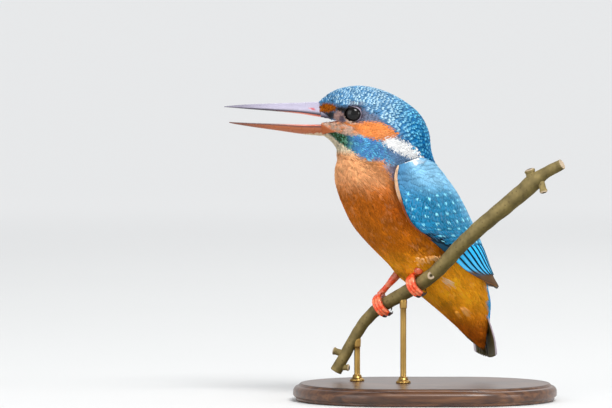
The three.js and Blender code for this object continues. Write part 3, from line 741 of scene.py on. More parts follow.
def plumage(station, angle, hue):
    """The colour of the coat at a place on the body, from breast and back up to the marked head."""
    rear, left, up, _ = unturned(station, angle)
    points = stack([rear, left, up], -1)
    side = side_degrees(angle)

    def inside(outline, soft=0.7):
        return within(rear, up, outline, soft)

    def spot(shape, soft=0.35):
        return oval(rear, up, shape, soft)

    def grain(size, seed, low, high, stretch=1):
        return ramp(mottle(points * stretch, size, seed), low, high)

    # The breast is paler peach high up and mottled pale there: partly its own colour, partly a painted
    # highlight on its upper side.
    colour = over(hue.breast, hue.breast_high, 0.85 * ramp(up, 84, 96) * ramp(side, 75, 135),
                  # Deeper orange low down beside the wing: partly redder feathers, partly painted shade
                  # under the wing.
                  hue.flank, ramp(up, 92, 76) * ramp(side, 150, 105) * 0.7,
                  hue.belly, ramp(up, 84, 66),
                  hue.vent, ramp(up, 66, 55),
                  hue.tail_covert, ramp(up, 42, 28),
                  hue.breast_high, 0.3 * grain(7, 24, 0, 1) * ramp(up, 80, 92))
    colour = shade(colour, 0.16 * mottle(points, 9, 11) + 0.08 * mottle(points, 3, 12))
    # The blue of the back, brightest along its middle.
    back = interp(station, *BACK_EDGE.T) + 2.5 * mottle(points, 5, 13)
    blue = hue.mantle + (hue.azure - hue.mantle) * (ramp(side, 26, 8) * ramp(station, 8.6, 10))[..., None]
    blue = over(blue, hue.azure, ramp(station, 13.2, 14.5),
                hue.tail_edge, 0.6 * hump(station, 14, 14.4, 0.2) * ramp(side, 44, 56))
    # Beside the narrow coverts under the tail, the dark outer tail feathers show, with painted shadow along
    # that edge.
    covered = np.where(sin(angle) < 0, 58 + 128 * ramp(station, 15.6, 17), 48)
    around = np.where((sin(angle) > 0) & (side > 150), 360 - side, side)
    outer = (1 - ramp(around, covered - 5, covered + 5)) * (side > back) * ramp(station, 15.6, 16.2)
    colour = over(colour, hue.slate, 0.75 * inside(SHOULDER_PATCH, 1.2),
                  blue, (1 - ramp(side, back - 2, back + 2)) * hump(station, 8.3, 17.5, 0.5),
                  hue.tail_below, maximum(outer, ramp(station, 17.75, 17.95)))
    # The head: a grey-blue ground, the throat and the cheek.
    stripe = inside(CHEEK_STRIPE, 0.6)
    throat = over(hue.throat, hue.breast_high, ramp(up, 104.5, 101.5))
    cheek = over(hue.cheek_front, hue.cheek, ramp(rear, -21.5, -16),
                 hue.cheek_violet, 0.6 * grain(2.6, 23, 0, 0.9) * ramp(rear, -20, -15),
                 hue.slate, 0.8 * ramp(rear, -10, -3))
    # Below and behind the eye: the pale line, the ear coverts, the neck patch and the cap.
    streaks = array([0.35, 1.0, 1.2])
    gape = shade(hue.pale_line, 0.1 * mottle(points * streaks, 1.6, 17))
    gape = over(gape, hue.ear, 0.6 * grain(2.4, 18, -0.2, 0.9, streaks),
                hue.bark_dark, 0.5 * grain(1.8, 19, 0.5, 1.2, streaks))
    front = ramp(rear, -13, -19)
    ear = over(hue.ear, hue.pale_line, (0.12 + 0.4 * front) * grain(2.5, 16, 0, 1, streaks),
               hue.bark_dark, 0.5 * front * grain(1.7, 20, 0.3, 1.1, streaks))
    ear = shade(ear, 0.1 * mottle(points * streaks, 2.2, 25) - 0.15 * ramp(up, 111, 109) - 0.2 * front)
    crown = over(hue.crown, hue.nape, ramp(rear, -8, 6) * ramp(side, 0, 60) + 0.5 * ramp(rear, 2, 12))
    head = over(hue.slate, hue.dark_slate, 0.4 * grain(2, 14, -0.5, 1),
                throat, ramp(side, 112, 128) * (1 - stripe),
                shade(cheek, 0.15 * mottle(points, 2.2, 15)), stripe,
                gape, inside(PALE_LINE, 0.8),
                ear, inside(EAR_COVERTS),
                hue.white, inside(NECK_PATCH),
                crown, above(rear, up, CAP_EDGE, 0.4),
                hue.slate_blue, 0.85 * inside(BEHIND_EYE, 1))
    # Round the eye and before it.
    from_eye, over_eye = rear - EYE_PLACE[0], up - EYE_PLACE[1]
    around_eye = hypot(from_eye, over_eye * 1.05)
    behind = ramp(from_eye + 0.8 * over_eye, -1, 1.5)
    beside = over(hue.lore_line, hue.pale_line * 0.85, ramp(up, 119.2, 117.4))
    lore = shade(hue.lore, 0.25 * mottle(points, 1.7, 22) - 0.45 * (1 - spot(LORE, 1.3)))
    at_bill = hump(rear, -33, -27, 1.5) * hump(up, 118, 121, 1)
    head = over(head, over(hue.eye_ring, hue.fold, 0.7 * grain(1.5, 21, -0.2, 0.6)),
                0.85 * behind * hump(around_eye, 0, 5, 1),
                beside, (1 - behind) * hump(around_eye, 0, 3.9, 0.5) * ramp(up, 122.8, 122),
                hue.lore_line, spot(BLACK_LORE, 0.6),
                hue.lore_line, 0.85 * spot(BELOW_LORE, 0.6),
                hue.bare, spot(BARE_PATCH, 0.5),
                hue.bare_dark, 0.9 * spot(BARE_SHADE, 0.7),
                lore, spot(LORE),
                hue.lore_line, 0.8 * at_bill * (1 - spot(LORE)),
                # The upper horn's wedge on the face carries the same painted pale reflection.
                over(hue.bill_above, hue.bill_edge, 0.45 + 0.5 * ramp(up, 119.8, 118)),
                inside(UPPER_HORN, 0.5),
                hue.bill_below, inside(LOWER_HORN, 0.5))
    is_head = above(rear, up, BREAST_EDGE, 0.5) * (1 - ramp(station, 8.2, 8.8))
    return over(colour, head, is_head)


# ---- finishes ----

EVEN = (1, 1, 1)
FLOOR_GREY = (0.80, 0.80, 0.79, 1)
BACKDROP_WHITE = (0.86, 0.87, 0.88, 1)
SKY_WHITE = (0.93, 0.96, 1, 1)


class Number:
    """A socket that carries a number, on which Python's arithmetic adds Math nodes."""

    def __init__(self, finish, socket):
        self.finish = finish
        self.socket = socket

    def join(self, operation, first, second):
        """The Math node of an operation on two numbers or sockets."""
        return self.finish.node("ShaderNodeMath", {"operation": operation}, {0: first, 1: second})

    def __add__(self, other):
        return self.join("ADD", self, other)

    def __rsub__(self, other):
        return self.join("SUBTRACT", other, self)

    def __mul__(self, other):
        return self.join("MULTIPLY", self, other)

    __radd__ = __add__
    __rmul__ = __mul__


class Finish:
    """A material with one Principled shader, and the nodes that vary it over a surface."""

    def __init__(self, name, **fixed):
        self.material = bpy.data.materials.new(name)
        self.material.use_nodes = True
        self.tree = self.material.node_tree
        self.shader = self.tree.nodes["Principled BSDF"]
        for socket, value in fixed.items():
            self.shader.inputs[socket.replace("_", " ")].default_value = value

    def node(self, kind, settings=None, inputs=None, output=0):
        """A node of a type with its settings, then its sockets' values or links."""
        made = self.tree.nodes.new(kind)
        for setting, value in (settings or {}).items():
            if setting != "stops":
                setattr(made, setting, value)
                continue
            while len(made.color_ramp.elements) < len(value):
                made.color_ramp.elements.new(0.5)
            for element, (position, colour) in zip(made.color_ramp.elements, value):
                element.position = position
                element.color = colour
        for socket, value in (inputs or {}).items():
            if isinstance(value, Number):
                self.tree.links.new(value.socket, made.inputs[socket])
            else:
                made.inputs[socket].default_value = value
        return Number(self, made.outputs[output])

    def feed(self, socket, value):
        """Links a value into a socket of the shader."""
        self.tree.links.new(value.socket, self.shader.inputs[socket])

    def place(self, stretch=EVEN):
        """Object coordinates, stretched along each axis."""
        at = self.node("ShaderNodeTexCoord", output="Object")
        return self.node("ShaderNodeMapping", {}, {"Vector": at, "Scale": stretch})

    def noise(self, size, detail=3, stretch=EVEN, distortion=0):
        """Noise of 0 to 1 with grains of a size in millimetres."""
        inputs = {"Vector": self.place(stretch), "Scale": 1 / (size * MM)}
        return self.node("ShaderNodeTexNoise", {}, {**inputs, "Detail": detail, "Distortion": distortion})

    def cells(self, size, feature):
        """Rounded cells of a size in millimetres: the distance to their middles or edges."""
        inputs = {"Vector": self.place(), "Scale": 1 / (size * MM)}
        return self.node("ShaderNodeTexVoronoi", {"feature": feature}, inputs)

    def mix(self, factor, first, second, blend="MIX"):
        """One colour over another, by a factor."""
        inputs = {0: factor, 6: first, 7: second}
        return self.node("ShaderNodeMix", {"data_type": "RGBA", "blend_type": blend}, inputs, 2)

    def varied(self, colour, amount, size, detail=3, stretch=EVEN):
        """A colour made lighter and darker by noise, by a share of itself."""
        grey = self.noise(size, detail, stretch) * (2 * amount) + (1 - amount)
        grey = self.node("ShaderNodeCombineColor", {}, {0: grey, 1: grey, 2: grey})
        return self.mix(1, colour, grey, "MULTIPLY")

    def tinted(self, *steps):
        """The colour that the mesh carries at each point, varied in steps of (amount, size, ...)."""
        colour = self.node("ShaderNodeAttribute", {"attribute_name": "Tint"}, output="Color")
        for step in steps:
            colour = self.varied(colour, *step)
        return colour

    def bump(self, height, strength, depth):
        """A Bump node on the shader's Normal, `depth` millimetres at full height."""
        inputs = {"Height": height, "Strength": strength, "Distance": depth * MM}
        self.feed("Normal", self.node("ShaderNodeBump", {}, inputs))

    def covered(self, colour, rough=None, height=None, strength=0, depth=0):
        """The material, with what varies over the surface fed in."""
        self.feed("Base Color", colour)
        if rough:
            self.feed("Roughness", rough)
        if height:
            self.bump(height, strength, depth)
        return self.material


# Finishes of the mesh's own colours: specular level, steps of light and dark as (amount, size,
# detail, stretch), the gloss's (size, range, how far below), and the bumps' (size, detail,
# stretch, strength, depth).
FINISHES = {
    "feather": (0.12, [(0.10, 0.5)], (1.5, 0.2, 0.1), (0.25, 2, EVEN, 0.35, 0.05)),
    "quill": (0.25, [(0.12, 0.4, 3, (1, 1, 0.35))], (1, 0.2, 0.1), (0.2, 2, EVEN, 0.25, 0.05)),
    "horn": (0.5, [(0.12, 0.9, 3, (0.25, 1, 1)), (0.06, 0.3)], (1.2, 0.25, 0.12),
             (0.7, 4, (0.3, 1, 1), 0.5, 0.06)),
    "skin": (0.25, [(0.15, 0.8)], None, (0.4, 3, EVEN, 0.5, 0.1)),
    "eye": (0.3, [(0.2, 0.4)], None, None),
}


def coloured(kind, name, roughness):
    """One of the FINISHES, at a roughness."""
    specular, steps, gloss, bumps = FINISHES[kind]
    finish = Finish(name, Roughness=roughness, Specular_IOR_Level=specular)
    if gloss:
        finish.feed("Roughness", finish.noise(gloss[0]) * gloss[1] + (roughness - gloss[2]))
    if bumps:
        finish.bump(finish.noise(*bumps[:3]), *bumps[3:])
    return finish.covered(finish.tinted(*steps))


def foot_finish():
    """Moist, finely scaled skin."""
    finish = Finish("foot_skin", Roughness=0.35, Specular_IOR_Level=0.45, Coat_Weight=0.5,
                    Coat_Roughness=0.16)
    return finish.covered(finish.tinted((0.10, 0.6)), finish.noise(0.8) * 0.25 + 0.3,
                          finish.cells(0.45, "DISTANCE_TO_EDGE"), 0.5, 0.12)


def bark_finish():
    """Smooth young bark: lengthwise grain, small pores and a little dust in the hollows."""
    finish = Finish("bark", Roughness=0.78, Specular_IOR_Level=0.25)
    grain = finish.noise(1.6, 6, (1, 1, 0.6))
    pores = finish.cells(1.7, "F1")
    spot = finish.node("ShaderNodeMapRange", {}, {0: pores, 1: 0.1, 2: 0.28, 3: 1, 4: 0})
    colour = finish.mix(spot * 0.55, finish.tinted((0.22, 2.2, 5)), solid(74, 58, 36))
    return finish.covered(colour, grain * 0.2 + 0.68, grain + spot * 0.4, 0.7, 0.25)


def wood_finish():
    """Dark polished walnut with its grain along the base."""
    finish = Finish("walnut", Roughness=0.35, Specular_IOR_Level=0.5, Coat_Weight=0.25, Coat_Roughness=0.2)
    bend = finish.noise(30, 2, (0.3, 1, 1))
    lines = finish.noise(2.4, 6, (0.12, 1, 1), 0.6)
    pores = finish.noise(0.5, 2, (0.06, 1, 1))
    stops = [(0.30, solid(52, 30, 18)), (0.48, solid(88, 54, 32)), (0.60, solid(118, 77, 46)),
             (0.72, solid(66, 39, 23))]
    tone = finish.node("ShaderNodeValToRGB", {"stops": stops}, {0: lines * 0.8 + bend * 0.2})
    colour = finish.mix((1 - pores) * 0.35, tone, solid(40, 23, 14))
    return finish.covered(colour, pores * 0.15 + 0.28, pores, 0.25, 0.08)


def brass_finish():
    """Brushed brass rods, a little dulled."""
    finish = Finish("brass", Metallic=1, Roughness=0.32)
    dull = finish.noise(6, 4)
    return finish.covered(finish.mix(dull, solid(196, 160, 92), solid(150, 116, 62)), dull * 0.22 + 0.22,
                          finish.noise(0.3, 2, (1, 1, 0.05)), 0.2, 0.03)


def srgb(red, green, blue):
    """A colour written as 0 to 255 as the linear numbers that shaders use."""
    value = array([red, green, blue]) / 255
    return tuple(np.where(value <= 0.04045, value / 12.92, ((value + 0.055) / 1.055) ** 2.4).tolist())


def solid(red, green, blue):
    """The same, for a shader's socket."""
    return (*srgb(red, green, blue), 1)


# ---- what a user may change ----

# Lengths in millimetres, and colours written as 0 to 255.
LENGTHS = dict(
    coat_depth=(1.2, "How far the skin lies inside the outline of the plumage"),
    face_depth=(0.5, "The same on the head, where the feathers are shortest"),
    breast_barb=(5.5, "Length of a breast feather"),
    crown_feather=(3.2, "Length of a crown feather"),
    face_feather=(1.5, "Length of a feather on the lores and cheeks"),
    covert=(6, "Length of a wing covert"),
    lid_opening=(3.05, "Radius of the opening between the eyelids"),
)
COLOURS = dict(
    # Partly a painted highlight: this peach also stands for light falling on the upper breast.
    breast_high=(250, 184, 130, "Peach feathers below the throat"),
    breast=(196, 106, 20, "Orange of the breast"),
    # Partly painted shade: this deeper orange also stands for the shade under the wing.
    flank=(182, 78, 6, "Redder orange beside the wing"),
    belly=(200, 112, 12, "Deeper orange of the belly"),
    vent=(255, 172, 30, "Golden orange under the body"),
    tail_covert=(214, 118, 22, "Orange under the tail"),
    slate=(108, 138, 172, "Grey-blue at the side of the neck"),
    dark_slate=(62, 84, 118, "Shaded grey-blue"),
    mantle=(62, 140, 178, "Blue between the wings"),
    azure=(60, 180, 240, "Bright stripe down the back"),
    cheek_front=(52, 88, 54, "Dark green behind the lower bill"),
    cheek_violet=(92, 112, 190, "Violet-blue shade in the cheek stripe"),
    cheek_fleck=(128, 196, 168, "Pale green flecks in the front of the cheek"),
    cheek=(76, 146, 200, "Azure stripe below the cheek"),
    throat=(240, 226, 196, "Cream of chin and throat"),
    pale_line=(226, 190, 168, "Pale line under the ear coverts"),
    ear=(255, 154, 82, "Orange behind and below the eye"),
    white=(252, 252, 252, "White at the side of the neck"),
    crown=(86, 146, 194, "Ground of the crown"),
    crown_spot=(204, 240, 252, "Bright tips of the crown feathers"),
    nape=(14, 110, 168, "Ground of the nape"),
    nape_spot=(120, 220, 252, "Bright tips of the nape feathers"),
    slate_blue=(122, 132, 156, "Grey-blue behind the eye"),
    eye_ring=(104, 106, 124, "Tiny dark feathers round the eye"),
    lore_line=(44, 40, 38, "Dark line from bill to eye"),
    lore=(176, 94, 10, "Orange-brown spot before the eye"),
    bare=(180, 146, 138, "Grey-pink skin before the eye"),
    bare_dark=(88, 78, 94, "Darker violet-grey part of it"),
    fold=(146, 140, 160, "Violet-grey folds behind the eye"),
    mouth=(226, 128, 104, "Lining of the open mouth"),
    # Partly painted sheen: the top of the wing is painted paler where light falls on it from above.
    wing_high=(138, 194, 226, "Pale blue of the scapulars"),
    wing=(48, 142, 186, "Ground of the wing coverts"),
    wing_low=(14, 128, 178, "Deeper blue near the wing's lower edge"),
    wing_spot=(150, 236, 255, "Bright spots at the tips of the coverts"),
    wing_rim=(252, 212, 176, "Peach feathers along the leading edge"),
    quill=(40, 184, 248, "Outer web of the flight feathers"),
    quill_dark=(14, 26, 36, "Inner web of the flight feathers"),
    tail_edge=(238, 230, 244, "Pale outer web of the outermost tail feathers"),
    # Partly painted highlight: this cream also stands for light caught by the loose down.
    tuft=(255, 226, 184, "Cream down that stands out near the feet"),
    primary=(98, 70, 42, "Brown tips of the primaries"),
    tail_above=(66, 110, 150, "Upper side of the tail"),
    tail_below=(84, 74, 36, "Under side of the tail"),
    # Painted reflection: the upper bill is black horn, painted pale lilac-grey as if it reflected the sky.
    bill_above=(180, 174, 194, "Pale grey of the upper bill"),
    bill_edge=(52, 44, 56, "Dark cutting edge"),
    bill_below=(170, 92, 50, "Orange-red of the lower bill"),
    nostril=(196, 92, 98, "Pink-red nostril slit"),
    iris=(15, 11, 11, "Dark brown iris"),
    lid=(170, 160, 178, "Bare rim of the eyelids"),
    foot=(255, 76, 8, "Orange-red of the toes"),
    # Partly painted highlight: besides the joints, its mottled patches stand for wet highlights on the toes.
    foot_pale=(255, 176, 128, "Paler skin over the joints and soles"),
    claw=(62, 46, 42, "Dark horn of the claws"),
    bark=(132, 116, 74, "Grey-brown bark"),
    # On the branch this darker colour is painted shade on its underside.
    bark_dark=(92, 80, 40, "Mossier bark on the underside"),
    scar=(206, 184, 156, "Pale wood of scars and cut ends"),
)


def settings(kind, rows, default, **fixed):
    """The properties that a user may change, from rows of values and a description."""
    return {name: kind(name=name.replace("_", " ").capitalize(), description=description,
                       default=default(*values), min=0.0, **fixed)
            for name, (*values, description) in rows.items()}


class KingfisherSizes(bpy.types.PropertyGroup):
    """Lengths of the coat and of the small parts of the face."""

    __annotations__ = settings(bpy.props.FloatProperty, LENGTHS, lambda size: size * MM, unit="LENGTH",
                               precision=5)


class KingfisherColours(bpy.types.PropertyGroup):
    """Colours of plumage and bare parts."""

    __annotations__ = settings(bpy.props.FloatVectorProperty, COLOURS, srgb, subtype="COLOR", size=3,
                               max=1.0)


def colours():
    """The chosen colours by name, as arrays."""
    chosen = bpy.context.scene.kingfisher_colours
    return SimpleNamespace(**{name: array(getattr(chosen, name)[:]) for name in COLOURS})


def sizes():
    """The chosen lengths by name, in millimetres."""
    chosen = bpy.context.scene.kingfisher_sizes
    return SimpleNamespace(**{name: getattr(chosen, name) / MM for name in LENGTHS})


def finished(piece, finish, slot, *replaced):
    """Gives a piece its material and its body, and hides the CAD nodes it stands for; slot is not used."""
    piece.data.materials.append(finish)
    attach(piece, BODY)
    if replaced:
        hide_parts(*replaced)


# ---- skin, eyes and bill ----


def closed_piece(name, grid, tint, finish, slot, *nodes, plan=None, looped=False):
    """A closed piece from a grid (rings, around, 3) of points and a colour for each.

    looped joins its last ring to its first. Its faces are turned outwards: the volume that they
    enclose has to be positive.
    """
    rings, around = grid.shape[:2]
    points = grid.reshape(-1, 3)
    quads, ends = ring_faces(rings + looped, around, caps=[] if looped else [0, 1])
    quads %= len(points)
    a, b, c, d = (points[quads[:, k]] for k in range(4))
    if (cross(c - a, d - b) * (a + b + c + d)).sum() <= 0:
        quads, ends = quads[:, ::-1], ends[:, ::-1]
    bake = None if plan is None else plan.reshape(-1, 2)
    finished(make_mesh(name, points, (quads, ends), tint.reshape(-1, 3), bake), finish, slot, *nodes)


def cad_box(name):
    """The lowest and highest corner of a CAD node, in millimetres."""
    return (array(corner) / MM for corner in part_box(name))


def skin_depth(station):
    """How far the skin lies inside the plumage: least on the face, and thinning to the tail tip."""
    chosen = sizes()
    back, back_up, front, front_up, half, _ = moveaxis(through(STATIONS, station), -1, 0)
    full = chosen.face_depth + (chosen.coat_depth - chosen.face_depth) * ramp(station, 4.5, 8)
    return minimum(full, 0.35 * minimum(half, hypot(back - front, back_up - front_up) / 2))


def gape_share(points):
    """1 inside the wedge of the open mouth, and 0 outside it."""
    ahead = GAPE_X - points[..., 0]
    above = GAPE_HEIGHT + GAPE_ABOVE * ahead
    below = GAPE_HEIGHT - GAPE_BELOW * ahead
    height = points[..., 2]
    inside = ramp(height, below - 0.2, below + 0.3) * (1 - ramp(height, above - 0.3, above + 0.2))
    return inside * ramp(ahead, 0, 1)


class KINGFISHER_OT_skin(bpy.types.Operator):
    """Make the one skin of head, neck, trunk, rump and thighs, under the whole coat"""

    bl_idname = "kingfisher.skin"
    bl_label = "Skin"

    def execute(self, context):
        hue = colours()
        ends = array([0.08, 0.25, 0.45, 0.65, 0.82, 0.94])
        stations = np.pad(linspace(0, LAST_STATION, 250), len(ends), mode="edge")
        scale = concatenate([ends, ones(250), ends[::-1]])
        angles = linspace(-pi, pi, 168, endpoint=False)
        station, angle = meshgrid(stations, angles, indexing="ij")
        points = body(station, angle, -skin_depth(station))
        middle = points.mean(1, keepdims=True)
        points = middle + (points - middle) * scale[:, None, None]
        horn = horn_share(station, angle)
        colour = shade(plumage(station, angle, hue), -0.15 * (1 - horn))
        for side in SIDES:
            eye = sum(cad_box("eye_" + side)) / 2
            outward = eye[1] - PIVOT[1]
            apart = hypot(points[..., 0] - eye[0], points[..., 2] - eye[2])
            sunk = ((points[..., 1] - PIVOT[1]) * outward > 0) * (1 - ramp(apart, 3.2, 5))
            points[..., 1] -= sunk * 2.6 * sign(outward)
            colour = over(colour, hue.lid, sunk)
        points = over(points, body(station, angle, 0.15), horn)
        mouth = gape_share(points)
        points[..., 0] += maximum(0, GAPE_X - 0.5 - points[..., 0]) * mouth
        points[..., 1] = PIVOT[1] + (points[..., 1] - PIVOT[1]) * (1 - 0.8 * mouth)
        colour = over(colour, hue.mouth, ramp(mouth, 0.1, 0.6))
        length = np.broadcast_to(linspace(0, 1, len(stations))[:, None], station.shape)
        plan = 0.02 + 0.96 * stack([length, angle / (2 * pi) + 0.5], -1)
        closed_piece("skin", points, colour, coloured("skin", "skin", 0.7), "breast_feathers",
                     "head", "neck", "trunk", "rump", "thigh_left", "thigh_right", plan=plan)
        return {"FINISHED"}


def rings_about(middle, axis, polar, radius, around):
    """Rings about an axis: each is at a polar angle from it and at a radius from the middle."""
    axis = unit(array(axis, float))
    top = unit(array([0, 0, 1.0]) - axis * axis[2])
    turn = circle(around)[:, None]
    out = sin(polar)[..., None] * (top * cos(turn) + cross(axis, top) * sin(turn))
    return middle + radius[:, None, None] * (out + cos(polar)[..., None] * axis)


class KINGFISHER_OT_eyes(bpy.types.Operator):
    """Make the eyeballs and the bare rims of their lids"""

    bl_idname = "kingfisher.eyes"
    bl_label = "Eyes"

    def execute(self, context):
        hue = colours()
        wet = coloured("eye", "eye_wet", 0.05)
        bare = coloured("skin", "eyelid", 0.5)
        low, high = cad_box("eye_left")
        radius = (high[2] - low[2]) / 2
        opening = np.arcsin(sizes().lid_opening / radius)
        for side, way in SIDES.items():
            axis = (-0.16, -way, 0.03)
            middle = sum(cad_box("eye_" + side)) / 2
            polar = radians(linspace(1, 179, 60))
            bulge = 1 - 0.07 * np.exp(-((polar / radians(30)) ** 2))
            grid = rings_about(middle, axis, polar[:, None] * ones(56), radius * bulge, 56)
            iris = hump(np.degrees(polar)[:, None] * ones(56), 24, 42, 2)
            closed_piece("eyeball_" + side, grid, over(0.002, hue.iris, iris), wet, "eye", "eye_" + side)
            # The lid's section: up over the lip, out under the feathers, and back along the ball.
            polar = opening + radians([0, 0.8, 2.6, 5.5, 10, 18, 28, 28, 19, 10, 3])
            reach = radius + array([0.08, 0.18, 0.23, 0.22, 0.2, 0.16, 0.06, -0.25, -0.2, -0.1, 0.0])
            longer = radians(LID_LONGER) * cos(2 * circle(72) + pi)
            grid = rings_about(middle, axis, polar[:, None] + longer, reach, 72)
            behind = (grid[..., 0] - middle[0]) / radius
            above = (grid[..., 2] - middle[2]) / radius
            tint = over(hue.lore_line, hue.lid, ramp(behind + 0.3 * above, -0.3, 0.5),
                        hue.pale_line * 0.8, ramp(-above - 0.5 * behind, 0.55, 0.95),
                        hue.lore_line * 0.5, ramp(arange(11), 2.5, 0.5)[:, None])
            closed_piece("eyelid_" + side, grid, tint, bare, "crown_feathers", looped=True)
        return {"FINISHED"}


def bill_grid(table, way, rings=90, around=56):
    """One half of the bill: each section has a rounded ridge and a flat cutting edge.

    Round a section, up = cos(turn) runs from the edge at BILL_EDGE_SHARE of the height to the
    ridge, and the width is sin(turn) * half, less a share of up squared towards the ridge.
    """
    share = 1 - (1 - linspace(0, 1, rings)) ** 1.15
    x, top, bottom, half = moveaxis(through(table, share * (len(table) - 1)), -1, 0)[..., None]
    outer, edge = (top, bottom)[::way]
    turn = circle(around)
    up = cos(turn)
    height = BILL_EDGE_SHARE + up * np.where(up > 0, 1 - BILL_EDGE_SHARE, BILL_EDGE_SHARE)
    across = sin(turn) * half * np.where(up > 0, 1 - up**2 * BILL_RIDGE_NARROWS, 1)
    grid = stack(np.broadcast_arrays(x, PIVOT[1] + across, edge + (outer - edge) * height), -1)
    return grid, height, up


class KINGFISHER_OT_bill(bpy.types.Operator):
    """Make the two halves of the open bill, with nostrils, dark edges and lining"""

    bl_idname = "kingfisher.bill"
    bl_label = "Bill"

    def execute(self, context):
        hue = colours()
        horn = coloured("horn", "bill_horn", 0.3)
        grid, height, up = bill_grid(BILL_UPPER, 1)
        x, y, z = moveaxis(grid, -1, 0).copy()
        slit = hypot((x - NOSTRIL[0]) / 1.5, (z - NOSTRIL[1] + 0.16 * (x - NOSTRIL[0])) / 0.36)
        dent = 1 - 0.11 * (1 - ramp(slit, 0.3, 1.3)) * (up > 0)
        groove = 1 - 0.035 * hump(height, 0.30, 0.36, 0.07) * (up > 0) * ramp(x, -78, -60)
        grid[..., 1] = PIVOT[1] + (y - PIVOT[1]) * dent * groove
        # The upper bill's pale grey is a painted sky reflection; its black horn shows at the cutting edge
        # and towards the tip.
        tint = over(hue.bill_above, hue.bill_edge, 1 - ramp(height, 0.18, 0.40),
                    hue.bill_edge, 0.55 * ramp(x, -60, -84),
                    hue.mouth, (up < -0.25) * ramp(x, -66, -50),
                    hue.nostril, 1 - ramp(slit, 0.7, 1.25))
        closed_piece("bill_upper_horn", grid, tint, horn, "bill_upper", "bill_upper")
        grid, height, up = bill_grid(BILL_LOWER, -1)
        x = grid[..., 0]
        tint = over(hue.bill_below, hue.bill_edge, 0.75 * ramp(height, 0.35, 0.2),
                    hue.bill_edge, 0.5 * ramp(x, -62, -80),
                    hue.mouth, (up < -0.25) * ramp(x, -66, -50))
        closed_piece("bill_lower_horn", grid, tint, horn, "bill_lower", "bill_lower")
        return {"FINISHED"}


# ---- the coat on the body ----


def clear_of_eyes(station, angle, length):
    """True for feathers that neither start nor end within the lids' opening."""
    ahead, _ = slopes(body, station, angle)
    tip = station + length / norm(ahead)
    clear = ones(len(station), bool)
    for part in (0, 0.25, 0.5, 0.75, 1):
        rear, up = seen(station + part * (tip - station), angle)
        clear &= hypot(rear - EYE_PLACE[0], up - EYE_PLACE[1]) > sizes().lid_opening + 0.45
    return clear


def head_share(station, angle):
    """1 on the head and neck above the breast, and 0 below."""
    return above(*seen(station, angle), BREAST_EDGE, 0.6) * (1 - ramp(station, 8.3, 8.9))


def cap_share(station, angle):
    """1 on the blue cap and nape."""
    return above(*seen(station, angle), CAP_EDGE, 0.3) * head_share(station, angle)


def under_wing(station, angle):
    """1 where the folded wings hide the body."""
    upper, lower = (interp(station, WING[:, 0], edge, left=90, right=90) for edge in WING.T[1:3])
    side = side_degrees(angle)
    return (side > upper + 9) & (side < lower - 9) & (station < 13.2)


def sideways(station, angle):
    """How far the lie of the feathers leans to the back, in radians: most on cheeks and neck."""
    lean = radians(27) * hump(side_degrees(angle), 62, 128, 28) * hump(station, 3, 8, 1.4)
    return -sign(sin(angle)) * lean


def toned(ground, tone, root_dark, grain=0, waves=0, phase=0):
    """The colours of plain feathers: each its own tone of the ground, and darker to the root.

    Across a feather they also vary by grain * sin(waves * place + phase * tone).
    """

    def dress(feather, at, share):
        wave = grain * sin(waves * at + phase * tone[feather])
        return shade(ground[feather], tone[feather] + wave - root_dark * (1 - share))

    return dress


